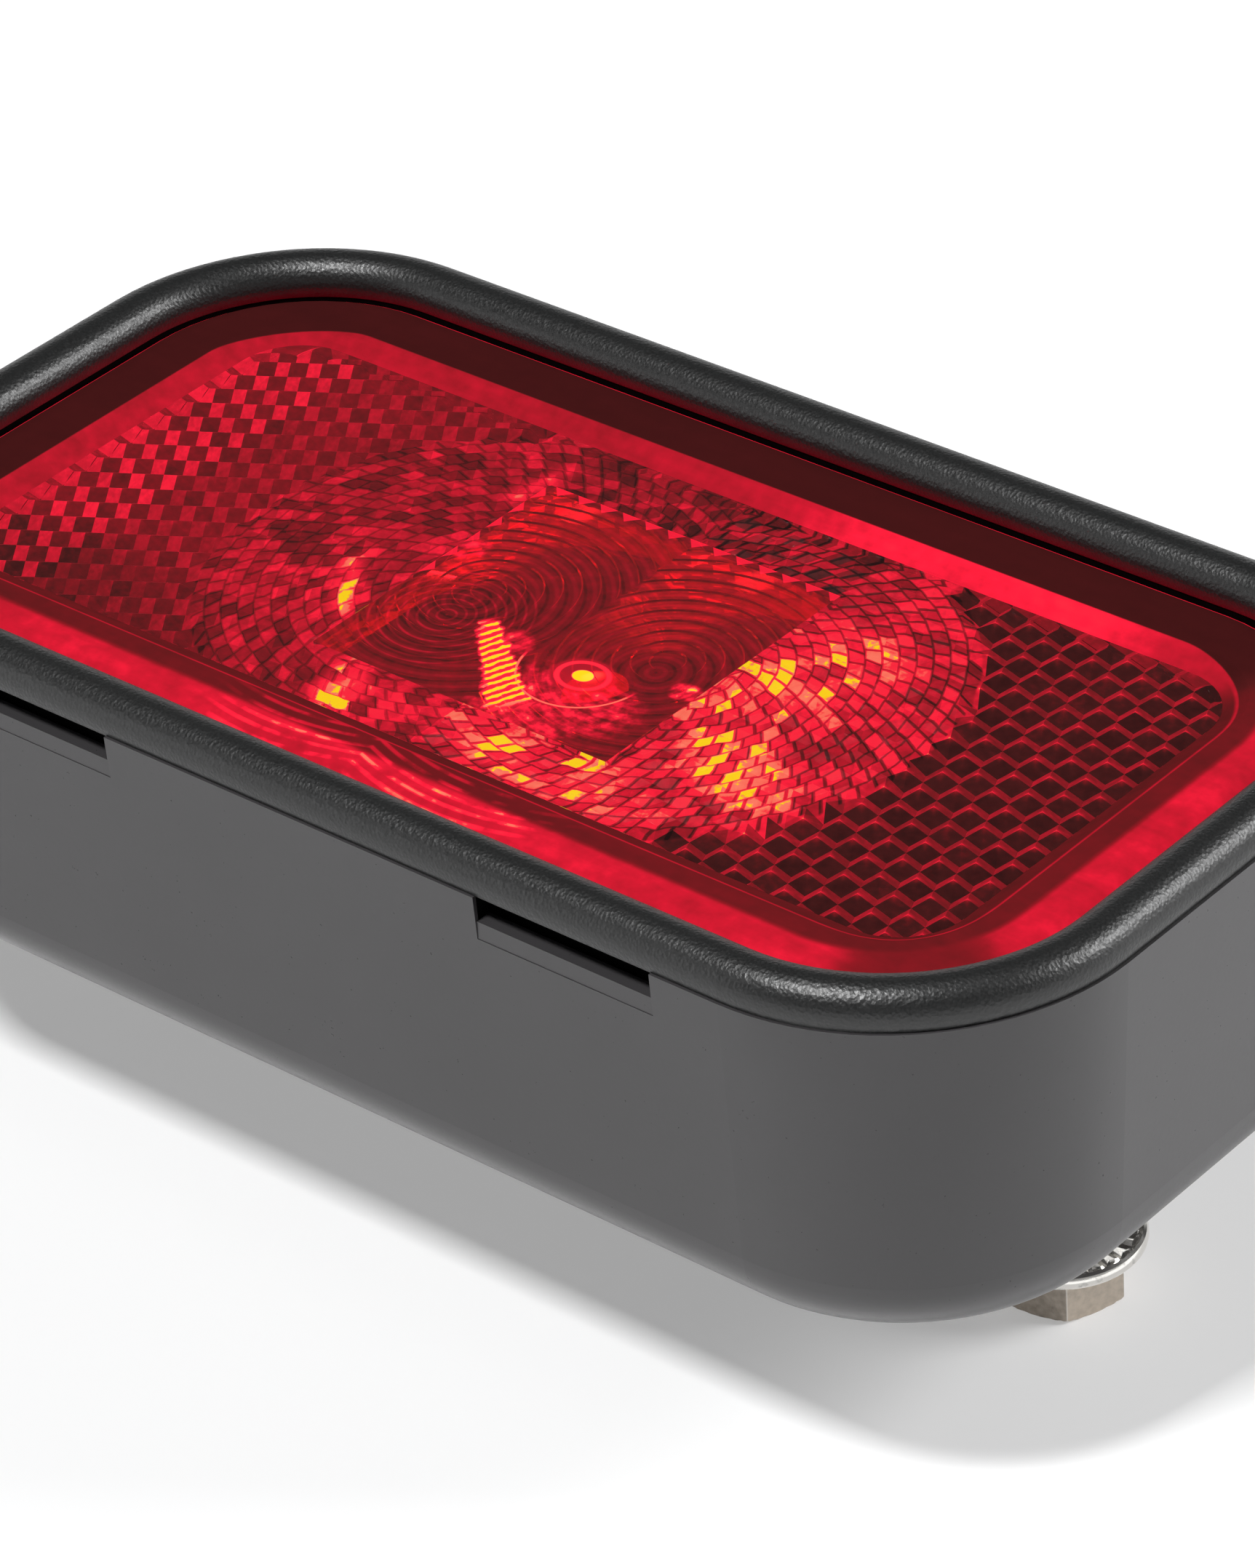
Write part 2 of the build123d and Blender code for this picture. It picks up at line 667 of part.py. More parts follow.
def make_button() -> Part:
    """The cap: a round face with a finger dimple, a retaining flange and a stem."""
    wall = back_half_width + draft_at(switch_z - BUTTON_FLANGE_RADIUS) - BODY_WALL
    flange_face = wall - BUTTON_FLANGE_GAP
    front = back_half_width + draft_at(switch_z) + BUTTON_PROUD
    cap = rod(0, switch_z, BUTTON_RADIUS, flange_face, front)
    cap = fillet(cap.edges().group_by(Axis.Y)[-1], BUTTON_EDGE_RADIUS)
    centre = front + BUTTON_DIMPLE_RADIUS - BUTTON_DIMPLE_DEPTH
    cap -= Pos(0, centre, switch_z) * Sphere(BUTTON_DIMPLE_RADIUS)
    cap += rod(0, switch_z, BUTTON_FLANGE_RADIUS, flange_face - BUTTON_FLANGE, flange_face)
    tip = switch_front() + PLUNGER_REACH
    return cap + rod(0, switch_z, BUTTON_STEM_RADIUS, tip, flange_face - BUTTON_FLANGE)


def make_button_seal() -> Part:
    """The rubber ring in the groove of the button's hole."""
    inner = BUTTON_RADIUS + SEAL_RING_GAP
    near = seal_face()
    ring = rod(0, switch_z, inner + SEAL_RING_HEIGHT, near, near + SEAL_RING_WIDTH)
    return ring - rod(0, switch_z, inner, near, near + SEAL_RING_WIDTH)


def make_shroud() -> Part:
    """The cover over the board: top, three side walls, two screw legs and the lamp's cup."""
    half = board_half + SHROUD_BEYOND_BOARD + SHROUD_WALL
    near = -board_front - SHROUD_FRONT_GAP - SHROUD_WALL
    far = board_back - SHROUD_BACK_GAP
    low = board_top_z + SHROUD_ABOVE_BOARD
    outer = block(-half, half, near, far, low, shroud_top_z)
    outer = fillet(outer.edges().filter_by(Axis.Z).group_by(Axis.Y)[0], SHROUD_CORNER_RADIUS)
    body = outer - block(-half + SHROUD_WALL, half - SHROUD_WALL, near + SHROUD_WALL, far, low, shroud_z)
    for x, y in screw_places():
        body += post(x, y, SHROUD_LEG_RADIUS, board_top_z, shroud_z)
    for x, y in screw_places():
        body -= post(x, y, SCREW_HOLE_RADIUS, board_top_z, shroud_top_z)
        body -= post(x, y, SCREW_HEAD_RADIUS + PIN_GAP, board_top_z + SHROUD_LEG_FLOOR, shroud_top_z)
    throat = LED_RADIUS + LED_GAP
    height = cup_rim_z - shroud_z
    lift = (shroud_z + cup_rim_z) / 2
    body += Pos(0, 0, lift) * Cone(throat + CUP_WALL, CUP_MOUTH_RADIUS + CUP_WALL, height)
    return body - Pos(0, 0, lift) * Cone(throat, CUP_MOUTH_RADIUS, height)


def make_screws(places: list[tuple[float, float]], seat: float, tip: float) -> Part:
    """A group of pan-head screws from their heads' seat to their tips, each with a driver slot."""
    group = Part()
    for x, y in places:
        screw = post(x, y, SCREW_SHAFT_RADIUS, tip, seat)
        head = post(x, y, SCREW_HEAD_RADIUS, seat, seat + SCREW_HEAD_HEIGHT)
        head -= block(
            x - SCREW_HEAD_RADIUS, x + SCREW_HEAD_RADIUS, y - SCREW_SLOT_WIDTH / 2, y + SCREW_SLOT_WIDTH / 2,
            seat + SCREW_HEAD_HEIGHT - SCREW_SLOT_DEPTH, seat + SCREW_HEAD_HEIGHT,
        )
        group += screw + head
    return group


def make_wire(side: int) -> Part:
    """An insulated lead from a contact's tab to the board."""
    tab_x = side * (cell_x - CONTACT_HALF_WIDTH - TAB_LENGTH / 2)
    height = tab_z() + TAB_HEIGHT / 2
    over = board_top_z + 3 * WIRE_BEND_RADIUS
    pad_x = side * (board_half - 2 * WIRE_BEND_RADIUS)
    pad_y = board_back - 2 * WIRE_BEND_RADIUS
    path = FilletPolyline(
        (tab_x, contact_face, height), (tab_x, contact_face - 2 * WIRE_BEND_RADIUS, height),
        (pad_x, pad_y, over), (pad_x, pad_y, board_top_z), radius=WIRE_BEND_RADIUS / 2,
    )
    section = Plane(origin=path @ 0, z_dir=path % 0) * Circle(WIRE_RADIUS)
    return sweep(section, path=path)


def make_stud(side: int) -> Part:
    """A bolt whose head sits in its collar, with a plain shank and a threaded end."""
    seat = BACK_WALL + SEAL_THICKNESS
    x = side * stud_x
    tip = -STUD_PLAIN_LENGTH - STUD_THREAD_LENGTH
    thread = post(x, 0, THREAD_RADIUS, tip, -STUD_PLAIN_LENGTH)
    thread = chamfer(bottom_edges(thread), THREAD_CHAMFER)
    bolt = hexagon(x, HEAD_FLATS, 0, seat, seat + HEAD_HEIGHT)
    return bolt + post(x, 0, NECK_RADIUS, 0, seat) + post(x, 0, STUD_RADIUS, -STUD_PLAIN_LENGTH, 0) + thread


def make_stud_seal(side: int) -> Part:
    """The rubber washer under a bolt's head."""
    x = side * stud_x
    top = BACK_WALL + SEAL_THICKNESS
    ring = post(x, 0, SEAL_RADIUS, BACK_WALL, top)
    return ring - post(x, 0, NECK_RADIUS + STUD_HOLE_GAP, BACK_WALL, top)


def make_nut(side: int) -> Part:
    """A flange nut: chamfered hexagon, coned flange and a ring of teeth that face the housing."""
    x = side * stud_x
    top = -STUD_PLAIN_LENGTH - NUT_BELOW_SHANK
    flat = top - TOOTH_HEIGHT
    bottom = top - NUT_HEIGHT
    corner = NUT_FLATS / 2 / cos(pi / 6)
    nut = hexagon(x, NUT_FLATS, NUT_TURN, bottom, flat)
    trim = post(x, 0, corner, bottom, flat)
    nut = nut & chamfer(bottom_edges(trim), NUT_CHAMFER)
    edge_z = flat - NUT_FLANGE_EDGE
    nut += post(x, 0, NUT_FLANGE_RADIUS, edge_z, flat)
    cone_z = edge_z - NUT_FLANGE_RISE
    nut += Pos(x, 0, (edge_z + cone_z) / 2) * Cone(NUT_FLATS / 2, NUT_FLANGE_RADIUS, NUT_FLANGE_RISE)
    width = TOOTH_INNER_RADIUS * sin(pi / TOOTH_COUNT)
    section = Polyline(
        (TOOTH_INNER_RADIUS, -width, flat), (TOOTH_INNER_RADIUS, width, flat),
        (TOOTH_INNER_RADIUS, width, top), close=True,
    )
    tooth = extrude(make_face(section), amount=NUT_FLANGE_RADIUS - TOOTH_INNER_RADIUS, dir=(1, 0, 0))
    tooth &= post(0, 0, NUT_FLANGE_RADIUS, flat, top)
    for i in range(TOOTH_COUNT):
        nut += Pos(x, 0, 0) * Rot(0, 0, 360 * i / TOOTH_COUNT) * tooth
    return nut - post(x, 0, THREAD_RADIUS + NUT_BORE_GAP, bottom, top)


def make_all() -> dict[str, Part]:
    """Every sub-part by its node's name."""
    tower_seat = BACK_WALL + BOSS_HEIGHT + TOWER_TOP
    leg_seat = board_top_z + SHROUD_LEG_FLOOR
    tray_tip = BACK_WALL + TRAY_SCREW_TIP_GAP
    board_tip = tray_top_z + BOARD_SCREW_TIP_GAP
    parts = {
        "housing": make_housing(),
        "bezel": make_bezel(),
        "lens": make_lens(),
        "cover_gasket": make_gasket(),
        "battery_tray": make_tray(),
        "tray_screws": make_screws(corner_places(boss_x, boss_y), tower_seat, tray_tip),
        "contact_bridge": make_bridge(),
        "circuit_board": make_board(),
        "led_body": make_led(),
        "led_leads": make_leads(),
        "driver_chip": make_chip(),
        "resistors": make_resistors(),
        "capacitor": make_capacitor(),
        "tactile_switch": make_switch(),
        "switch_plunger": make_plunger(),
        "push_button": make_button(),
        "button_seal": make_button_seal(),
        "led_shroud": make_shroud(),
        "board_screws": make_screws(screw_places(), leg_seat, board_tip),
        "wire_red": make_wire(-1),
        "wire_black": make_wire(1),
    }
    for side, name in ((-1, "left"), (1, "right")):
        parts[f"battery_{name}"] = make_cell(side)
        parts[f"contact_{name}"] = make_contact(side)
        parts[f"spring_{name}"] = make_spring(side)
        parts[f"stud_{name}"] = make_stud(side)
        parts[f"stud_seal_{name}"] = make_stud_seal(side)
        parts[f"flange_nut_{name}"] = make_nut(side)
    return parts


os.makedirs("parts", exist_ok=True)
for node, shape in make_all().items():
    export_step(shape, f"parts/{node}.step")
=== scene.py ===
"""Looks of a battery rear light for a carrier plate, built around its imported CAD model."""

import json
import logging
import math
import random
from collections.abc import Sequence
from dataclasses import dataclass
from enum import Enum

import bmesh
import bpy
from mathutils import Matrix, Vector


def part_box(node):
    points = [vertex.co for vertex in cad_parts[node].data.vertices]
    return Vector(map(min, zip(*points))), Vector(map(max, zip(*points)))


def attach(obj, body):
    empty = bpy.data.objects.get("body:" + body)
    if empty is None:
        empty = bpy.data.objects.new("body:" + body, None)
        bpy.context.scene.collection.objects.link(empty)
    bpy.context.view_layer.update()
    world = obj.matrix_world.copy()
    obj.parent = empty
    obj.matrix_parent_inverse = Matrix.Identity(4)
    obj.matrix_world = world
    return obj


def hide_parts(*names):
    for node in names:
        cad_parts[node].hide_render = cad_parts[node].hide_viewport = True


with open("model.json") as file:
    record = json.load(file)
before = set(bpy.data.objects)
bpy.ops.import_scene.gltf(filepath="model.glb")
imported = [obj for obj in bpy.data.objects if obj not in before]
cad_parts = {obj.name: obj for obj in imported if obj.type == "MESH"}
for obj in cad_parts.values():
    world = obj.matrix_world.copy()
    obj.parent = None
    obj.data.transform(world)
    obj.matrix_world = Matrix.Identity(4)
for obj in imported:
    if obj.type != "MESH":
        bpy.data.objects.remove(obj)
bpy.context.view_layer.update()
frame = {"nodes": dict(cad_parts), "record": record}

log = logging.getLogger("rear_light")
MM = 0.001
Pair = tuple[float, float]
Triple = tuple[float, float, float]
Colour = Triple
Stops = tuple[tuple[float, Colour], ...]

# Sizes that several pieces and finishes share, in millimetres and degrees
STUD_X = 40.0
HEXAGON_TURN = 10.5
WINDOW_HALF_X = 13.0
WINDOW_HALF_Y = 12.4
WINDOW_PITCH = 1.3
DISC_X = 8.45
DISC_SHIFT = 0.35
DISC_REACH = 20.5


class Side(Enum):
    """The two ends of the light."""

    LEFT = -1
    RIGHT = 1


# Shader tools


class Value:
    """One socket of a shader tree, which adds Math nodes when it is worked with."""

    def __init__(self, shader: "Shader", socket: bpy.types.NodeSocket) -> None:
        """Wraps a socket.

        Args:
            shader: the tree that holds the socket.
            socket: an output socket.
        """
        self.shader = shader
        self.socket = socket

    def math(self, operation: str, *others: "Value | float", first: bool = True) -> "Value":
        """Adds one Math node.

        Args:
            operation: the node's operation.
            others: the other operands.
            first: whether this value is the first operand.

        Returns:
            The result.
        """
        operands = (self, *others) if first else (*others, self)
        return self.shader.node("ShaderNodeMath", {"operation": operation}, dict(enumerate(operands)))

    def __add__(self, other: "Value | float") -> "Value":
        """Sum."""
        return self.math("ADD", other)

    def __radd__(self, other: float) -> "Value":
        """Sum with a number first."""
        return self.math("ADD", other)

    def __sub__(self, other: "Value | float") -> "Value":
        """Difference."""
        return self.math("SUBTRACT", other)

    def __rsub__(self, other: float) -> "Value":
        """Difference from a number."""
        return self.math("SUBTRACT", other, first=False)

    def __mul__(self, other: "Value | float") -> "Value":
        """Product."""
        return self.math("MULTIPLY", other)

    def __rmul__(self, other: float) -> "Value":
        """Product with a number first."""
        return self.math("MULTIPLY", other)

    def __truediv__(self, other: "Value | float") -> "Value":
        """Quotient."""
        return self.math("DIVIDE", other)

    def __pow__(self, other: "Value | float") -> "Value":
        """Power."""
        return self.math("POWER", other)

    def __abs__(self) -> "Value":
        """Size without the sign."""
        return self.math("ABSOLUTE")

    def above(self, limit: "Value | float") -> "Value":
        """One where the value is over the limit, else zero."""
        return self.math("GREATER_THAN", limit)

    def rise(self, low: float, high: float) -> "Value":
        """Smooth step from zero at low to one at high.

        Args:
            low: where the step starts.
            high: where the step ends.

        Returns:
            The step.
        """
        settings = {"interpolation_type": "SMOOTHSTEP"}
        return self.shader.node("ShaderNodeMapRange", settings, {0: self, 1: low, 2: high, 3: 0.0, 4: 1.0})

    def fall(self, low: float, high: float) -> "Value":
        """Smooth step from one at low to zero at high."""
        return 1.0 - self.rise(low, high)

    def limit(self) -> "Value":
        """The value kept between zero and one."""
        return self.math("MAXIMUM", 0.0).math("MINIMUM", 1.0)

    def off_middle(self) -> "Value":
        """Distance from the middle of the whole step that the value lies in, zero to a half."""
        return abs(self.math("FRACT") - 0.5)

    def part(self, index: int) -> "Value":
        """One number of a vector.

        Args:
            index: 0, 1 or 2 for x, y or z.

        Returns:
            That number.
        """
        return self.shader.node("ShaderNodeSeparateXYZ", {}, {0: self}, output=index)


def length(across: Value, along: Value) -> Value:
    """The length of a way with these two legs."""
    return (across * across + along * along) ** 0.5


def scaled(colour: Colour, gain: float, lift: float = 0.0) -> Colour:
    """A colour made paler or darker."""
    return tuple(min(1.0, part * gain + lift) for part in colour)


class Shader:
    """The node tree of one material, or of the room."""

    def __init__(self, name: str, world: bool = False) -> None:
        """Starts an empty tree.

        Args:
            name: the name of what holds it.
            world: whether a world holds it, not a material.
        """
        self.owner = (bpy.data.worlds if world else bpy.data.materials).new(name)
        self.owner.use_nodes = True
        self.tree = self.owner.node_tree
        self.tree.nodes.clear()

    def node(self, kind: str, settings: dict, sockets: dict, output: int | str = 0) -> Value | None:
        """Adds a node of any type.

        Args:
            kind: the node's type.
            settings: its properties, or a ramp's stops, set first.
            sockets: values or links by socket index or name.
            output: which output is returned.

        Returns:
            That output, or nothing from a node that ends the tree.
        """
        node = self.tree.nodes.new(kind)
        for key, setting in settings.items():
            if key == "stops":
                self.set_stops(node.color_ramp, setting)
            else:
                setattr(node, key, setting)
        for key, value in sockets.items():
            if isinstance(value, Value):
                self.tree.links.new(value.socket, node.inputs[key])
            elif isinstance(value, tuple) and len(value) == 3 and node.inputs[key].type == "RGBA":
                node.inputs[key].default_value = (*value, 1.0)
            else:
                node.inputs[key].default_value = value
        return Value(self, node.outputs[output]) if node.outputs else None

    @staticmethod
    def set_stops(ramp: bpy.types.ColorRamp, stops: Stops) -> None:
        """Fills a colour ramp.

        Args:
            ramp: the ramp.
            stops: pairs of a place and a colour.
        """
        while len(ramp.elements) > len(stops):
            ramp.elements.remove(ramp.elements[-1])
        while len(ramp.elements) < len(stops):
            ramp.elements.new(1.0)
        for element, (place, colour) in zip(ramp.elements, stops):
            element.position = place
            element.color = (*colour, 1.0)

    def place(self) -> Value:
        """The point's place in the shared frame, in metres."""
        return self.node("ShaderNodeTexCoord", {}, {}, "Object")

    def attribute(self, name: str) -> Value:
        """A number that the mesh carries."""
        return self.node("ShaderNodeAttribute", {"attribute_name": name}, {}, "Fac")

    def streaks(self, stretch: Triple, scale: float = 1.0, detail: float = 3.0) -> Value:
        """Noise drawn out along the axes that have small factors.

        Args:
            stretch: factors along x, y and z.
            scale: a factor for all three.
            detail: finer octaves.

        Returns:
            Values round 0.5.
        """
        place = self.node("ShaderNodeMapping", {}, {"Vector": self.place(), "Scale": stretch})
        return self.node("ShaderNodeTexNoise", {}, {"Vector": place, "Scale": scale, "Detail": detail})

    def noise(self, size_mm: float, detail: float = 3.0) -> Value:
        """Soft noise.

        Args:
            size_mm: size of its blotches.
            detail: finer octaves.

        Returns:
            Values round 0.5.
        """
        sockets = {"Vector": self.place(), "Scale": 1.0 / (size_mm * MM), "Detail": detail}
        return self.node("ShaderNodeTexNoise", {}, sockets)

    def grains(self, size_mm: float) -> Value:
        """Round grains.

        Args:
            size_mm: their size.

        Returns:
            The distance to the nearest grain's middle, zero to about one.
        """
        sockets = {"Vector": self.place(), "Scale": 1.0 / (size_mm * MM)}
        return self.node("ShaderNodeTexVoronoi", {}, sockets)

    def chance(self, across: Value, along: Value) -> Value:
        """A random number for each cell of a grid.

        Args:
            across: place in cells one way.
            along: place in cells the other way.

        Returns:
            A number from zero to one, the same all over a cell.
        """
        whole = {0: across.math("FLOOR"), 1: along.math("FLOOR"), 2: 0.0}
        cell = self.node("ShaderNodeCombineXYZ", {}, whole)
        return self.node("ShaderNodeTexWhiteNoise", {"noise_dimensions": "2D"}, {"Vector": cell})

    def mix(self, factor: Value | float, low: "Value | Colour", high: "Value | Colour") -> Value:
        """A colour between two.

        Args:
            factor: zero for low, one for high.
            low: the first colour.
            high: the second colour.

        Returns:
            The mixed colour.
        """
        return self.node("ShaderNodeMix", {"data_type": "RGBA"}, {0: factor, 6: low, 7: high}, 2)

    def ramp(self, value: Value, stops: Stops) -> Value:
        """A colour read from a ramp."""
        return self.node("ShaderNodeValToRGB", {"stops": stops}, {0: value})

    def bump(self, height: Value, depth_mm: float, strength: float = 1.0) -> Value:
        """A normal from a height.

        Args:
            height: values round zero to one.
            depth_mm: what a height of one stands for.
            strength: how much of it shows.

        Returns:
            The bumped normal.
        """
        sockets = {"Height": height, "Distance": depth_mm * MM, "Strength": strength}
        return self.node("ShaderNodeBump", {}, sockets)

    def principled(self, **sockets: "Value | float | Colour") -> Value:
        """Adds a Principled shader.

        Args:
            sockets: its inputs, written with underscores for spaces.

        Returns:
            The shader's output.
        """
        named = {key.replace("_", " "): value for key, value in sockets.items()}
        return self.node("ShaderNodeBsdfPrincipled", {}, named)

    def either(self, factor: Value, first: Value, second: Value) -> Value:
        """Mixes two shaders.

        Args:
            factor: zero for the first, one for the second.
            first: a shader.
            second: another shader.

        Returns:
            The mixed shader.
        """
        return self.node("ShaderNodeMixShader", {}, {0: factor, 1: first, 2: second})

    def end(self, shader: Value) -> bpy.types.Material:
        """Makes a shader the material's surface."""
        self.node("ShaderNodeOutputMaterial", {}, {"Surface": shader})
        return self.owner

    def surface(self, **sockets: "Value | float | Colour") -> bpy.types.Material:
        """Ends the tree with one Principled shader."""
        return self.end(self.principled(**sockets))


# Finishes


@dataclass(frozen=True)
class MouldedPlastic:
    """Opaque plastic with a spark-eroded grain."""

    name: str
    colour: Colour
    roughness: float = 0.42
    grain_mm: float = 0.22
    grain_depth_mm: float = 0.012
    sparkle: float = 0.0
    gloss: float = 0.5

    def material(self) -> bpy.types.Material:
        """The grain, slow mottling and a few rubbed spots.

        Returns:
            The material.
        """
        shader = Shader(self.name)
        return shader.end(self.skin(shader))

    def skin(self, shader: Shader) -> Value:
        """The plastic's outer surface.

        Args:
            shader: the tree that takes it.

        Returns:
            Its shader.
        """
        slow = shader.noise(9.0, 4.0)
        fine = shader.noise(self.grain_mm, 2.0)
        pits = shader.grains(self.grain_mm * 1.6)
        rubbed = shader.noise(3.0, 5.0).rise(0.58, 0.75)
        dark, pale = scaled(self.colour, 0.88), scaled(self.colour, 1.14, 0.001)
        height = fine * 0.6 + pits * 0.8
        rough = self.roughness + (fine - 0.5) * (0.1 + self.sparkle) - rubbed * 0.01
        return shader.principled(
            Base_Color=shader.mix(slow * 0.7 + fine * 0.3, dark, pale),
            Roughness=rough.limit(),
            Specular_IOR_Level=self.gloss,
            Normal=shader.bump(height, self.grain_depth_mm, 1.0),
        )


@dataclass(frozen=True)
class ShadedPlastic(MouldedPlastic):
    """Moulded plastic with painted shade: matt near-black in a band of heights where no light gets in.

    The band runs from low to high. Where notch is set, it keeps to the two notches of the near wall:
    notch is their distance from the light's middle, wall and draft say where the wall stands, and the
    wall's own skin stays as it is.
    """

    low: float = 0.0
    high: float = 26.29
    notch: float | None = None
    notch_width: float = 14.7
    wall: float = 28.3
    draft: float = 0.0457
    skin_mm: float = 0.3

    def material(self) -> bpy.types.Material:
        """The outer skin, and painted shade, a matt black, where no light gets in.

        Returns:
            The material.
        """
        shader = Shader(self.name)
        place = shader.place()
        height = place.part(2) / MM
        # Painted shade: the band of heights, and the notches where set, are painted matt black
        painted_shade = height.above(self.low) * (1.0 - height.above(self.high))
        if self.notch is not None:
            behind = place.part(1) / MM + self.wall + height * self.draft
            beside = abs(abs(place.part(0) / MM) - self.notch)
            painted_shade = painted_shade * behind.above(self.skin_mm) * (1.0 - beside.above(self.notch_width / 2.0))
            painted_shade = painted_shade * (1.0 - place.part(1).above(0.0))
        dust = shader.noise(0.6, 4.0)
        # The painted shade itself: a mottled near-black without gloss
        dull = shader.principled(
            Base_Color=shader.mix(dust, (0.0012, 0.0012, 0.0013), (0.003, 0.003, 0.003)),
            Roughness=0.9 + dust * 0.1,
            Specular_IOR_Level=0.0,
        )
        return shader.end(shader.either(painted_shade, self.skin(shader), dull))


@dataclass(frozen=True)
class SoftRubber:
    """Matt rubber with bloom and dust."""

    name: str
    colour: Colour = (0.022, 0.022, 0.023)
    dust: Colour = (0.09, 0.088, 0.084)

    def material(self) -> bpy.types.Material:
        """The bloom and a very fine skin.

        Returns:
            The material.
        """
        shader = Shader(self.name)
        bloom = shader.noise(2.4, 6.0)
        skin = shader.noise(0.12, 3.0)
        return shader.surface(
            Base_Color=shader.mix(bloom.rise(0.45, 0.85) * 0.5, self.colour, self.dust),
            Roughness=0.62 + (bloom - 0.5) * 0.25,
            Normal=shader.bump(skin, 0.01),
            Sheen_Weight=0.25,
            Sheen_Roughness=0.5,
        )


@dataclass(frozen=True)
class PlatedMetal:
    """Plated or bare metal with fine tool lines."""

    name: str
    colour: Colour
    tarnish: Colour
    roughness: float = 0.28
    line: Triple = (60.0, 60.0, 900.0)
    wear: float = 0.5

    def material(self) -> bpy.types.Material:
        """Tool lines, slow tarnish and small pits.

        Returns:
            The material.
        """
        shader = Shader(self.name)
        lines = shader.streaks(self.line, scale=9.0)
        stain = shader.noise(1.6, 6.0)
        pits = shader.grains(0.25)
        return shader.surface(
            Base_Color=shader.mix(stain.rise(0.42, 0.8) * self.wear, self.colour, self.tarnish),
            Metallic=1.0,
            Roughness=(self.roughness + (stain - 0.45) * 0.3 + (lines - 0.5) * 0.16).limit(),
            Normal=shader.bump(lines * 0.7 + pits.rise(0.0, 0.25) * 0.3, 0.006),
        )


@dataclass(frozen=True)
class MilledNut:
    """Nickel plate: bright on the flange, darker and warm on the hexagon, whose flats take painted shade by
    turns.
    """

    name: str
    bright: Colour = (0.86, 0.84, 0.8)
    hexagon_tone: Colour = (0.52, 0.455, 0.385)
    hexagon_top: float = -9.5
    blend: float = 0.12

    def material(self) -> bpy.types.Material:
        """Both surfaces, with fine scratches, dull spots, and painted shade and highlights on the hexagon.

        Returns:
            The material.
        """
        shader = Shader(self.name)
        below = (shader.place().part(2) / MM).fall(self.hexagon_top, self.hexagon_top + self.blend)
        specks_and_painted_flat_shade = shader.noise(0.5, 4.0)
        scratches = shader.streaks((900.0, 900.0, 9000.0))
        dull = specks_and_painted_flat_shade.rise(0.55, 0.75)
        across = abs(shader.place().part(0) / MM) - STUD_X
        along = shader.place().part(1) / MM
        # The turn round the stud in sixths, whole at the corners of the right nut
        sixth = along.math("ARCTAN2", across) * (3.0 / math.pi) + (60.0 - HEXAGON_TURN) / 60.0
        # Every second flat of the hexagon is painted darker: painted shade
        painted_shade_flat = abs(sixth.math("FLOOR").math("MODULO", 2.0))
        # A painted highlight along each corner of the hexagon
        corner = sixth.off_middle().rise(0.48, 0.5) * 0.5
        specks_and_painted_flat_shade = specks_and_painted_flat_shade * 0.6 + (1.0 - painted_shade_flat) * 0.4
        hexagon_tone = shader.mix(specks_and_painted_flat_shade, scaled(self.hexagon_tone, 0.32), scaled(self.hexagon_tone, 1.3))
        hexagon_tone = shader.mix(corner, hexagon_tone, self.bright)
        bright = shader.mix(dull, self.bright, scaled(self.bright, 0.7))
        return shader.surface(
            Base_Color=shader.mix(below, bright, hexagon_tone),
            Metallic=1.0,
            Roughness=0.12 + below * 0.24 + dull * 0.1 + (scratches - 0.5) * 0.1,
            Normal=shader.bump(scratches + specks_and_painted_flat_shade, 0.004, 0.7),
        )


@dataclass(frozen=True)
class CellJacket:
    """A printed sleeve round a steel can, bare at both ends."""

    name: str
    low_y: float
    high_y: float
    sleeve: Colour = (0.03, 0.2, 0.065)
    band: Colour = (0.62, 0.62, 0.58)
    steel: Colour = (0.68, 0.67, 0.64)
    bare_end: float = 1.1
    band_start: float = 4.0
    band_end: float = 8.0
    shrink: float = 2.0

    def material(self) -> bpy.types.Material:
        """The sleeve with one pale band, shrink ripples at its ends, and steel.

        Returns:
            The material.
        """
        shader = Shader(self.name)
        along = shader.place().part(1) / MM
        start, end = self.low_y + self.bare_end, self.high_y - self.bare_end
        low, high = start + self.band_start, start + self.band_end
        sleeve = along.rise(start, start + 0.05) * along.fall(end - 0.05, end)
        band = along.rise(low, low + 0.1) * along.fall(high, high + 0.1)
        ends = along.fall(start, start + self.shrink) + along.rise(end - self.shrink, end)
        ripple = shader.noise(0.5, 2.0) * ends
        ink = shader.mix(band, self.sleeve, self.band)
        scuffs = shader.noise(0.9, 7.0)
        scuffed = shader.mix(scuffs.rise(0.6, 0.8) * 0.25, ink, self.band)
        return shader.surface(
            Base_Color=shader.mix(sleeve, self.steel, scuffed),
            Metallic=1.0 - sleeve,
            Roughness=0.3 + (scuffs - 0.5) * 0.2,
            Normal=shader.bump(ripple + scuffs * 0.1, 0.05),
            Coat_Weight=0.3,
            Coat_Roughness=0.1,
        )


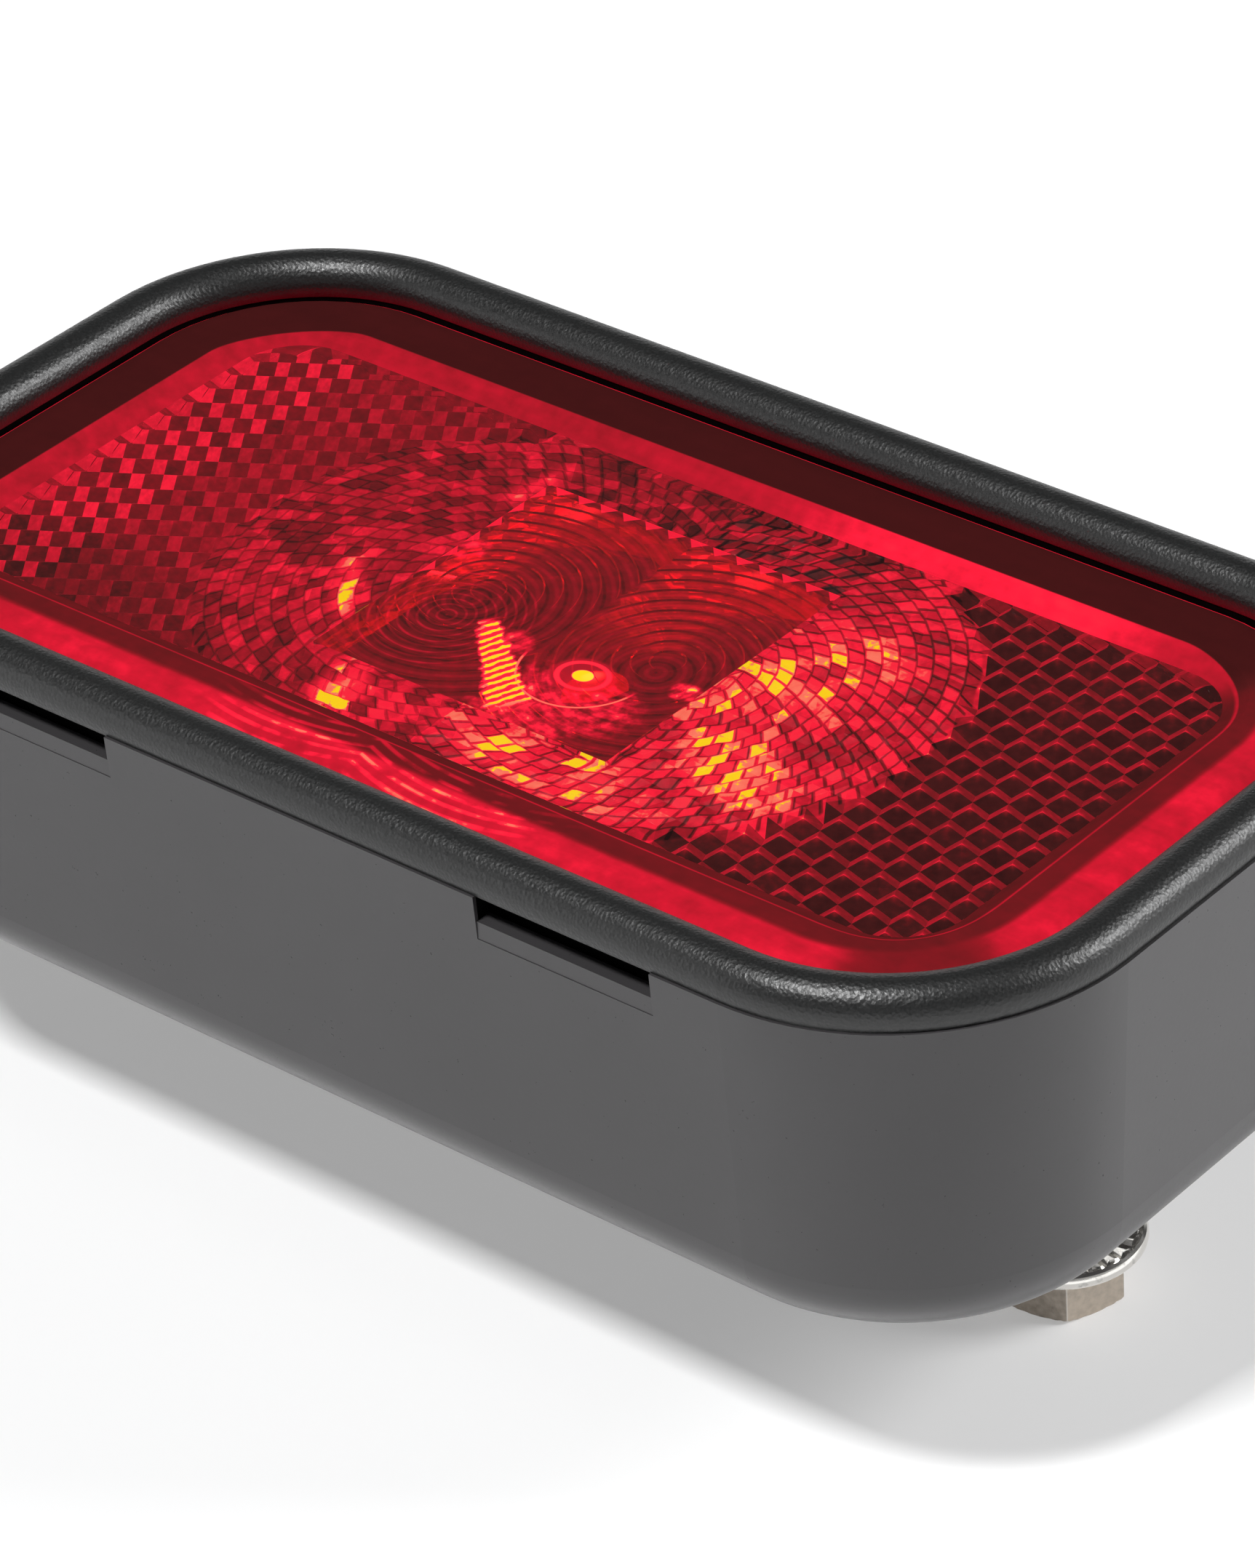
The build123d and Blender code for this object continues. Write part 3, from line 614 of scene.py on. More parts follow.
@dataclass(frozen=True)
class BoardMask:
    """Solder mask over copper traces, with tinned pads."""

    name: str
    mask: Colour = (0.012, 0.13, 0.035)
    trace: Colour = (0.03, 0.27, 0.075)
    pad: Colour = (0.72, 0.7, 0.64)
    edge: Colour = (0.42, 0.36, 0.2)
    lane_mm: float = 1.9
    row_mm: float = 2.6

    def material(self) -> bpy.types.Material:
        """Traces on a grid, pads at some of its crossings, and a bare edge.

        Returns:
            The material.
        """
        shader = Shader(self.name)
        place = shader.place()
        across, along = place.part(0) / MM / self.lane_mm, place.part(1) / MM / self.row_mm
        lane, row = across.off_middle(), along.off_middle()
        pick = shader.chance(across, along)
        run_x = lane.fall(0.1, 0.13) * pick.above(0.35)
        run_y = row.fall(0.07, 0.1) * pick.fall(0.5, 0.51)
        traces = (run_x + run_y).limit()
        spread = length(lane * self.lane_mm, row * self.row_mm) ** 2.0
        pads = spread.fall(0.12, 0.16) * pick.above(0.72)
        normal = shader.node("ShaderNodeNewGeometry", {}, {}, "True Normal")
        face = abs(normal.part(2)).rise(0.6, 0.8)
        green = shader.mix(traces, self.mask, self.trace)
        top = shader.mix(pads, green, self.pad)
        weave = shader.noise(0.3, 2.0)
        return shader.surface(
            Base_Color=shader.mix(face, self.edge, top),
            Metallic=pads * face,
            Roughness=(0.24 + weave * 0.2 + (1.0 - face) * 0.4).limit(),
            Normal=shader.bump(traces * 0.8 + weave * 0.15 + pads * 0.4, 0.035),
        )


@dataclass(frozen=True)
class LampEpoxy:
    """The lit lamp: a small hot die under a red dome."""

    name: str
    hot: Colour = (1.0, 0.95, 0.3)
    dome: Colour = (0.06, 0.0008, 0.0005)
    strength: float = 12.0

    def material(self) -> bpy.types.Material:
        """Glow round the axis, with swirls in the epoxy.

        Returns:
            The material.
        """
        shader = Shader(self.name)
        place = shader.place()
        core = length(place.part(0) / MM, place.part(1) / MM).fall(0.35, 1.1)
        swirl = shader.noise(0.8, 2.0)
        return shader.surface(
            Base_Color=shader.mix(core, (0.5, 0.02, 0.015), (0.9, 0.4, 0.2)),
            Roughness=0.08 + swirl * 0.05,
            Emission_Color=shader.mix((core + (swirl - 0.5) * 0.1).limit(), self.dome, self.hot),
            Emission_Strength=self.strength,
        )


# What a level of painted glow from zero to one looks like: dark red, deep red, hot pink, amber
GLOW_STOPS: Stops = (
    (0.0, (0.010, 0.003, 0.003)),
    (0.2, (0.055, 0.0085, 0.0085)),
    (0.42, (0.24, 0.008, 0.014)),
    (0.6, (0.6, 0.009, 0.028)),
    (0.72, (1.0, 0.013, 0.045)),
    (0.85, (1.0, 0.025, 0.052)),
    (0.88, (1.0, 0.15, 0.1)),
    (0.97, (1.0, 0.21, 0.13)),
    (0.99, (1.0, 0.56, 0.0)),
    (1.0, (1.0, 0.7, 0.01)),
)


@dataclass(frozen=True)
class RingPattern:
    """The stepped rings round two centres, as a shader sees them.

    The centres lie at centre on both sides of shift, and bricks are the lengths that rings are cut into.
    """

    pitch: float = 1.4
    centre: float = 8.0
    brick: float = 1.75
    shift: float = 0.0

    def radius(self, shader: Shader) -> tuple[Value, Value]:
        """The distance from the nearer centre and the turn round it.

        Args:
            shader: the tree.

        Returns:
            The distance in millimetres and the turn from -0.5 to 0.5.
        """
        place = shader.place()
        across = abs(place.part(0) / MM - self.shift) - self.centre
        along = place.part(1) / MM
        return length(across, along), along.math("ARCTAN2", across) / math.tau

    def bricks(self, shader: Shader) -> tuple[Value, Value, Value]:
        """Splits the rings into bricks of about equal length.

        Args:
            shader: the tree.

        Returns:
            A random number per brick, the joints between bricks, and the grooves between rings.
        """
        out, turn = self.radius(shader)
        ring = out / self.pitch
        number = ring.math("FLOOR")
        count = number * round(math.tau * self.pitch / self.brick) + 2.0
        # Joints lean a little, and each ring begins its bricks further round than the last
        brick = turn * count + ring.math("FRACT") * 0.45 + number * 0.37
        chance = shader.chance(ring, brick)
        joint = brick.off_middle().rise(0.36, 0.44)
        groove = ring.off_middle().rise(0.39, 0.47)
        return chance, joint, groove


@dataclass(frozen=True)
class GlowingFacets:
    """The red optics, with painted light: each face shows one patch of the lamp's light, cut up by the
    rings.
    """

    name: str
    rings: RingPattern = RingPattern(pitch=1.15, centre=DISC_X, brick=1.6, shift=DISC_SHIFT)

    def material(self) -> bpy.types.Material:
        """Glow from the mesh, broken by rings round both centres.

        Returns:
            The material.
        """
        shader = Shader(self.name)
        glow = shader.attribute("glow")
        # Painted pools of the lamp's light, carried by the mesh
        warmth = shader.attribute("warmth")
        right = (shader.place().part(0) / MM).rise(-0.5, 0.5)
        disc = self.rings.radius(shader)[0].fall(DISC_REACH - 0.1, DISC_REACH + 0.1)
        chance, joint, groove = self.rings.bricks(shader)
        blotch = shader.noise(0.6, 2.0) - 0.5
        # A painted glint at the prisms' tips, outside the discs
        painted_tip_glint = shader.attribute("peak") ** 6.0 * (0.12 + right * 0.33)
        strokes = (joint * 0.3).math("MAXIMUM", groove * 0.26) * (0.5 + right * 0.5)
        split = (chance - 0.5) * (0.3 + warmth.math("MAXIMUM", 0.0) * 0.6) - strokes
        level = glow + warmth + disc * split + (1.0 - disc) * painted_tip_glint + blotch * 0.22
        return shader.surface(
            Base_Color=shader.mix(level.limit(), (0.006, 0.001, 0.001), (0.05, 0.001, 0.002)),
            Roughness=0.3 + blotch * 0.1,
            Specular_IOR_Level=0.03,
            Emission_Color=shader.ramp(level.limit(), GLOW_STOPS),
            Emission_Strength=1.0,
        )


@dataclass(frozen=True)
class GlowingFrame:
    """The polished red frame of the lens, with painted glow along its edges where it is lit from within.

    The flat's outer edge is straight as far as straight_x and straight_y, and corner is the radius of its
    corners. Distances from that edge are negative inside it, where the frame slopes down beyond brink,
    within blend on both sides of it. far_way points to the far side, whose painted glow differs.
    """

    name: str
    rings: RingPattern = RingPattern(pitch=0.95)
    straight_x: float = 36.4
    straight_y: float = 11.3
    corner: float = 11.9
    brink: float = -3.36
    blend: float = 0.06
    far_way: Pair = (-0.678, 0.735)

    def material(self) -> bpy.types.Material:
        """Glow by place, drawn out into streaks along each side.

        Returns:
            The material.
        """
        shader = Shader(self.name)
        place = shader.place()
        x, y = place.part(0) / MM, place.part(1) / MM
        beyond_x = (abs(x) - self.straight_x).math("MAXIMUM", 0.0)
        beyond_y = (abs(y) - self.straight_y).math("MAXIMUM", 0.0)
        out = length(beyond_x, beyond_y)
        edge = out - self.corner
        way_x = beyond_x * x.math("SIGN") / (out + 0.01)
        way_y = beyond_y * y.math("SIGN") / (out + 0.01)
        far = (way_x * self.far_way[0] + way_y * self.far_way[1]).rise(-0.2, 0.3)
        streak = shader.streaks((90.0, 420.0, 900.0), detail=4.0)
        flecks = shader.noise(1.2, 3.0)
        # Painted shade: one at the middle of the near right corner, where the glow is kept dark
        corner = (way_x - way_y).rise(1.2, 1.38)
        level = self.near(shader, x, edge, corner) * (1.0 - far) + self.far(x, edge) * far
        level = level * (0.6 + streak * 0.5 + flecks * 0.3)
        return shader.surface(
            Base_Color=shader.mix(level.limit(), (0.01, 0.002, 0.002), (0.1, 0.002, 0.004)),
            Roughness=0.1 + flecks * 0.05,
            Specular_IOR_Level=0.0,
            Emission_Color=shader.ramp(level.limit(), GLOW_STOPS),
            Emission_Strength=1.0,
            Normal=shader.bump(flecks, 0.003, 0.4),
        )

    def joined(self, edge: Value, slope: Value, flat: Value) -> Value:
        """The slope's level inside the brink and the flat's level outside it."""
        ends = self.brink - self.blend, self.brink + self.blend
        return slope * edge.fall(*ends) + flat * edge.rise(*ends)

    def far(self, x: Value, edge: Value) -> Value:
        """The glow along the far and left sides.

        Args:
            x: place along the light in millimetres.
            edge: distance outside the flat's outer edge.

        Returns:
            The glow level.
        """
        lamp = abs(x - 20.0).fall(6.0, 24.0)
        slope = 0.5 + lamp * 0.22 - x.rise(40.0, 44.0) * 0.1
        flat = 0.1 + edge.rise(1.2, 1.4) * 0.56
        return self.joined(edge, slope, flat)

    def near(self, shader: Shader, x: Value, edge: Value, corner: Value) -> Value:
        """The glow along the near sides, with bright arcs thrown by the rings.

        Args:
            shader: the tree.
            x: place along the light in millimetres.
            edge: distance outside the flat's outer edge.
            corner: one at the middle of the near right corner, which is darkened as painted shade.

        Returns:
            The glow level.
        """
        slope = 0.24 + edge.rise(-3.75, -3.5) * 0.28
        patchy = shader.noise(2.6, 4.0)
        band = edge.rise(-2.0, -1.3) * (0.24 + patchy * 0.16)
        ring = self.rings.radius(shader)[0] / self.rings.pitch
        arc = ring.off_middle().fall(0.08, 0.28) * abs(x - 2.0).fall(10.0, 17.0)
        flat = 0.27 + band * (1.0 - corner * 0.8) + arc * patchy.rise(0.4, 0.6) * 0.28
        return self.joined(edge, slope, flat)


@dataclass(frozen=True)
class ClearAcrylic:
    """Polished acrylic that shows what lies in or under it."""

    name: str
    tint: Colour
    haze: float = 0.004

    def material(self) -> bpy.types.Material:
        """The tint with faint flow marks and wipe marks.

        Returns:
            The material.
        """
        shader = Shader(self.name)
        return shader.end(self.glass(shader, (0.0, 0.0, 0.0)))

    def glass(self, shader: Shader, glow: "Value | Colour") -> Value:
        """The acrylic itself.

        Args:
            shader: the tree that takes it.
            glow: the colour that it gives off.

        Returns:
            Its shader.
        """
        flow = shader.noise(7.0, 3.0)
        wipe = shader.noise(0.35, 3.0)
        return shader.principled(
            Base_Color=shader.mix(flow, scaled(self.tint, 0.93), self.tint),
            Roughness=(self.haze + wipe.rise(0.6, 0.8) * 0.03).limit(),
            Normal=shader.bump(flow + wipe * 0.02, 0.02, 0.5),
            Transmission_Weight=1.0,
            IOR=1.49,
            Specular_IOR_Level=0.12,
            Emission_Color=glow,
            Emission_Strength=1.0,
        )


@dataclass(frozen=True)
class WindowAcrylic(ClearAcrylic):
    """The window's red acrylic, whose rings catch the lamp in places.

    What the window shows, the lamp's light with it, is painted on its top face as glow, moved by shift
    from where it lies. A patch of painted light is its middle, its half width and half height, and its
    strength. Places and sizes are in millimetres.
    """

    pitch: float = WINDOW_PITCH
    shift: Pair = (0.6, -0.67)
    ring_centre: Pair = (8.2, -1.5)
    fine_centre: Pair = (-8.3, -4.0)
    fine_pitch: float = 0.68
    cup_centre: Pair = (4.0, -3.9)
    cup_radius: float = 4.7
    die_centre: Pair = (4.4, -4.6)
    die_ring: float = 1.9
    ladder_start: Pair = (-6.4, -2.1)
    ladder_turn: float = -42.0
    ladder_pitch: float = 0.78
    face: float = 26.0
    tooth_x: float = 2.035
    tooth_y: float = 2.35
    patches: tuple[tuple[float, float, float, float, float], ...] = (
        (5.5, -7.5, 9.5, 6.4, 0.8),
        (11.4, -2.3, 2.0, 1.7, 0.95),
        (4.0, -11.2, 7.0, 1.8, 0.86),
        (-12.4, 3.4, 2.2, 2.6, 0.74),
        (-2.2, -4.2, 3.0, 2.8, 0.76),
    )

    def material(self) -> bpy.types.Material:
        """The glass, lit from below through its rings.

        Returns:
            The material.
        """
        shader = Shader(self.name)
        place = shader.place()
        x, y = place.part(0) / MM - self.shift[0], place.part(1) / MM - self.shift[1]
        ring = length(abs(x) - self.ring_centre[0], y - self.ring_centre[1]) / self.pitch
        step = ring.off_middle().rise(0.36, 0.46)
        arc = ring.off_middle().fall(0.05, 0.2)
        ripple = shader.noise(0.9, 4.0)
        level = 0.32 + (ripple - 0.5) * 0.24 - step * 0.08 + arc * 0.09 + self.fine_rings(x, y)
        for middle_x, middle_y, wide, tall, strength in self.patches:
            near = length((x - middle_x) / wide, (y - middle_y) / tall)
            streaks = 0.74 + arc * 0.14 + (ripple - 0.5) * 1.5 - step * 0.12
            level = level.math("MAXIMUM", near.fall(0.35, 1.0) * strength * streaks.math("MINIMUM", 1.15))
        level = level.math("MAXIMUM", self.ladder(shader, x, y))
        level = level.math("MAXIMUM", self.teeth(x, y) * 0.68)
        level = level.math("MAXIMUM", self.cup(x, y) * 0.9)
        level = self.die(level, x, y)
        top = (place.part(2) / MM).rise(self.face, self.face + 0.08)
        colour = shader.mix(top, (0.0, 0.0, 0.0), shader.ramp(level.limit(), GLOW_STOPS))
        return shader.end(self.glass(shader, colour))

    def fine_rings(self, x: Value, y: Value) -> Value:
        """The finer rings of the left lens.

        Args:
            x: place along the light.
            y: place along the width.

        Returns:
            What they add to the glow level.
        """
        out = length(x - self.fine_centre[0], y - self.fine_centre[1])
        line = (out / self.fine_pitch).off_middle().rise(0.28, 0.45)
        return out.fall(6.0, 6.8) * (line * 0.14 - 0.04)

    def teeth(self, x: Value, y: Value) -> Value:
        """The tips of the neighbouring prisms along the far and left edges.

        Args:
            x: place along the light.
            y: place along the width.

        Returns:
            One on a tooth, else zero.
        """
        far_tip = (x / self.tooth_x).off_middle() * 2.2 - 0.2
        left_tip = (y / self.tooth_y).off_middle() * 1.8 - 0.2
        on_far = (far_tip - (WINDOW_HALF_Y - self.shift[1] - y)).rise(-0.05, 0.05)
        on_left = (left_tip - (WINDOW_HALF_X + self.shift[0] + x)).rise(-0.05, 0.05) * y.rise(-3.0, -1.0)
        return on_far.math("MAXIMUM", on_left)

    def cup(self, x: Value, y: Value) -> Value:
        """The lit rim of the lamp's cup."""
        out = length(x - self.cup_centre[0], y - self.cup_centre[1])
        return abs(out - self.cup_radius).fall(0.06, 0.2) * y.fall(-5.2, -3.2)

    def die(self, level: Value, x: Value, y: Value) -> Value:
        """Adds a painted image of the lamp's bright core, with its dark and its bright ring.

        Args:
            level: the glow level so far.
            x: place along the light.
            y: place along the width.

        Returns:
            The new level.
        """
        out = length(x - self.die_centre[0], (y - self.die_centre[1]) * 1.2)
        ring = abs(out - self.die_ring).fall(0.1, 0.5) * 0.84
        inside = out.fall(0.75, 1.0).math("MAXIMUM", ring).math("MAXIMUM", 0.5)
        return level * out.rise(2.2, 2.7) + inside * out.fall(2.2, 2.7)

    def ladder(self, shader: Shader, x: Value, y: Value) -> Value:
        """The row of painted highlights, rungs on the rings, that runs out from the left centre.

        Args:
            shader: the tree.
            x: place along the light.
            y: place along the width.

        Returns:
            The rungs' glow level.
        """
        turn = math.radians(self.ladder_turn)
        x, y = x - self.ladder_start[0], y - self.ladder_start[1]
        run = x * math.cos(turn) + y * math.sin(turn)
        off = y * math.cos(turn) - x * math.sin(turn)
        wobble = shader.noise(0.7, 2.0) - 0.5
        width = (abs(off) - run * 0.08 + wobble * 1.2).fall(0.4, 1.1)
        rung = ((run + off * 0.35 + wobble * 0.5) / self.ladder_pitch).off_middle().fall(0.16, 0.34)
        return run.rise(0.5, 1.6) * run.fall(11.5, 14.5) * width * (0.74 + rung * 0.26)


@dataclass(frozen=True)
class WireSleeve:
    """Soft wire insulation."""

    name: str
    colour: Colour

    def material(self) -> bpy.types.Material:
        """Slight draw lines and handling marks.

        Returns:
            The material.
        """
        shader = Shader(self.name)
        marks = shader.noise(0.7, 5.0)
        return shader.surface(
            Base_Color=shader.mix(marks, self.colour, scaled(self.colour, 1.3, 0.01)),
            Roughness=0.35 + (marks - 0.5) * 0.3,
            Normal=shader.bump(marks, 0.02),
            Coat_Weight=0.15,
        )


# Mesh tools


@dataclass(frozen=True)
class RoundedOutline:
    """A rounded rectangle on the light's middle line."""

    half_x: float
    half_y: float
    radius: float
    height: float

    def edges(self, bm: bmesh.types.BMesh, segments: int) -> list[bmesh.types.BMEdge]:
        """Draws the outline as a loop of edges.

        Args:
            bm: the mesh that takes it.
            segments: pieces in each corner.

        Returns:
            The loop's edges.
        """
        size = Matrix.Diagonal((self.half_x * MM, self.half_y * MM, 1.0, 1.0))
        place = Matrix.Translation((0.0, 0.0, self.height * MM)) @ size
        verts = bmesh.ops.create_grid(bm, x_segments=1, y_segments=1, size=1.0, matrix=place)["verts"]
        corners = bmesh.ops.bevel(
            bm,
            geom=verts,
            offset=self.radius * MM,
            offset_type="OFFSET",
            segments=segments,
            profile=0.5,
            affect="VERTICES",
            material=-1,
        )
        faces = (face for vert in corners["verts"] for face in vert.link_faces)
        face = next(face for face in faces if len(face.verts) > 4)
        loop = list(face.edges)
        bmesh.ops.delete(bm, geom=[face], context="FACES_ONLY")
        return loop

    def grown(self, out: float, height: float) -> "RoundedOutline":
        """The outline grown on all sides, at another height."""
        return RoundedOutline(self.half_x + out, self.half_y + out, self.radius + out, height)

    def moved(self, point: Vector, other: "RoundedOutline") -> Vector:
        """Where a point of this outline goes on another outline.

        Args:
            point: a point of this outline, in metres.
            other: the other outline.

        Returns:
            The matching point of the other outline.
        """
        new = []
        halves = (self.half_x, other.half_x), (self.half_y, other.half_y)
        for place, (half, other_half) in zip(point, halves):
            bend = (abs(place) / MM - (half - self.radius)) / self.radius
            new.append(math.copysign((other_half - other.radius + other.radius * bend) * MM, place))
        return Vector((*new, other.height * MM))


def ring_solid(bm: bmesh.types.BMesh, outlines: list[RoundedOutline], segments: int) -> None:
    """Draws the first outline and extrudes it through the others and back to itself.

    Args:
        bm: the mesh that takes it.
        outlines: the corners of the ring's section.
        segments: pieces in each rounded corner.
    """
    loop = outlines[0].edges(bm, segments)
    before = outlines[0]
    for outline in outlines[1:] + outlines[:1]:
        grown = bmesh.ops.extrude_edge_only(bm, edges=loop)["geom"]
        verts = {item for item in grown if isinstance(item, bmesh.types.BMVert)}
        for vert in verts:
            vert.co = before.moved(vert.co, outline)
        loop = [item for item in grown if isinstance(item, bmesh.types.BMEdge) and set(item.verts) <= verts]
        before = outline
    bmesh.ops.remove_doubles(bm, verts=bm.verts, dist=1e-6)
    bmesh.ops.recalc_face_normals(bm, faces=bm.faces)


def cut(bm: bmesh.types.BMesh, point: Triple | Vector, normal: Triple | Vector, drop: bool = True) -> None:
    """Cuts the mesh with a plane.

    Args:
        bm: the mesh.
        point: a point of the plane, in millimetres.
        normal: which way the plane faces.
        drop: whether what lies on that side is dropped.
    """
    bmesh.ops.bisect_plane(
        bm,
        geom=list(bm.verts) + list(bm.edges) + list(bm.faces),
        plane_co=Vector(point) * MM,
        plane_no=Vector(normal),
        clear_outer=drop,
        dist=1e-7,
    )


def lathe(
    bm: bmesh.types.BMesh, x: float, profile: Sequence[Pair], steps: int, turns: int = 1, climb: float = 0.0
) -> None:
    """Spins a profile round an upright axis on the light's middle line, or winds it up that axis.

    Args:
        bm: the mesh that takes it.
        x: where the axis stands, in millimetres.
        profile: distances from the axis and heights, in millimetres.
        steps: pieces in one turn.
        turns: how many turns.
        climb: how far one turn climbs, in millimetres.
    """
    verts = [bm.verts.new(((x + out) * MM, 0.0, height * MM)) for out, height in profile]
    edges = [bm.edges.new(pair) for pair in zip(verts, verts[1:])]
    bmesh.ops.spin(
        bm,
        geom=verts + edges,
        cent=(x * MM, 0.0, 0.0),
        axis=(0.0, 0.0, 1.0),
        dvec=(0.0, 0.0, climb / steps * MM),
        angle=math.tau * turns,
        steps=steps * turns,
        use_merge=not climb,
    )
    bmesh.ops.remove_doubles(bm, verts=bm.verts, dist=2e-6 if climb else 1e-6)


def finish_piece(
    bm: bmesh.types.BMesh, name: str, body: str, material: bpy.types.Material, smooth: float
) -> bpy.types.Object:
    """Turns a bmesh into a piece of the light.

    Args:
        bm: the finished mesh.
        name: the piece's name.
        body: the body that it rides on.
        material: its finish.
        smooth: the angle in degrees under which faces shade smoothly.

    Returns:
        The piece.
    """
    mesh = bpy.data.meshes.new(name)
    for face in bm.faces:
        face.smooth = True
    for edge in bm.edges:
        if len(edge.link_faces) == 2 and edge.calc_face_angle(0.0) > math.radians(smooth):
            edge.smooth = False
    bm.to_mesh(mesh)
    bm.free()
    mesh.materials.append(material)
    piece = bpy.data.objects.new(name, mesh)
    bpy.context.scene.collection.objects.link(piece)
    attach(piece, body)
    log.info("%s: %d faces on %s", name, len(mesh.polygons), body)
    return piece


# How brightly each place of the lens glows


@dataclass(frozen=True)
class HotSpot:
    """One bright patch of the lens, as a soft ellipse: middle, half length and width, turn, strength."""

    x: float
    y: float
    long: float
    wide: float
    turn: float
    gain: float

    def at(self, x: float, y: float) -> float:
        """Its strength at a place.

        Args:
            x: place along the light, in millimetres.
            y: the same along the width.

        Returns:
            What it adds to the glow level.
        """
        cosine, sine = math.cos(math.radians(self.turn)), math.sin(math.radians(self.turn))
        x, y = x - self.x, y - self.y
        along, across = x * cosine + y * sine, y * cosine - x * sine
        return self.gain * math.exp(-(((along / self.long) ** 2 + (across / self.wide) ** 2) ** 2))


# Painted pools of the lamp's light on the prisms; the last, of negative strength, dims the painted glow
# near the left end
HOT_SPOTS = (
    HotSpot(18.0, -4.0, 9.0, 9.0, 0.0, 0.09),
    HotSpot(19.6, -7.1, 9.0, 3.6, -36.0, 0.17),
    HotSpot(20.0, -8.2, 4.6, 1.9, -36.0, 0.12),
    HotSpot(17.2, 5.0, 7.4, 5.2, 62.0, 0.24),
    HotSpot(9.0, -14.3, 10.0, 3.0, -8.0, 0.28),
    HotSpot(-3.5, -14.5, 4.5, 3.5, 0.0, 0.14),
    HotSpot(6.6, -15.0, 1.2, 2.2, 0.0, 0.12),
    HotSpot(-8.1, -14.9, 3.2, 1.8, -72.0, 0.6),
    HotSpot(-16.5, -4.9, 4.4, 1.2, -59.0, 0.38),
    HotSpot(-14.2, 12.8, 3.6, 1.0, 80.0, 0.3),
    HotSpot(-16.0, -5.0, 8.0, 9.0, 0.0, 0.07),
    HotSpot(-36.0, -16.0, 14.0, 6.0, 0.0, -0.1),
)


def hot(x: float, y: float) -> float:
    """The sum of the bright patches at a place, in millimetres."""
    return sum(spot.at(x, y) for spot in HOT_SPOTS)


def in_disc(x: float, y: float) -> bool:
    """Whether a place, in millimetres, lies in the ringed disc round one of the two centres."""
    return math.hypot(abs(x - DISC_SHIFT) - DISC_X, y) < DISC_REACH


class Zone(Enum):
    """The areas of the two prism fields that glow differently."""

    DISC = "within the rings"
    STRIP = "within the rings and beyond the window's far edge"
    OPEN = "outside the rings"
    END = "outside the rings at the left end"


# The glow levels of a prism's three faces
FACE_LEVELS: dict[tuple[Side, Zone], Triple] = {
    (Side.LEFT, Zone.DISC): (0.5, 0.44, 0.46),
    (Side.LEFT, Zone.STRIP): (0.44, 0.36, 0.48),
    (Side.LEFT, Zone.OPEN): (0.5, 0.36, 0.46),
    (Side.LEFT, Zone.END): (0.66, 0.33, 0.46),
    (Side.RIGHT, Zone.DISC): (0.62, 0.56, 0.59),
    (Side.RIGHT, Zone.STRIP): (0.34, 0.47, 0.52),
    (Side.RIGHT, Zone.OPEN): (0.16, 0.4, 0.48),
}


# Sub-assemblies


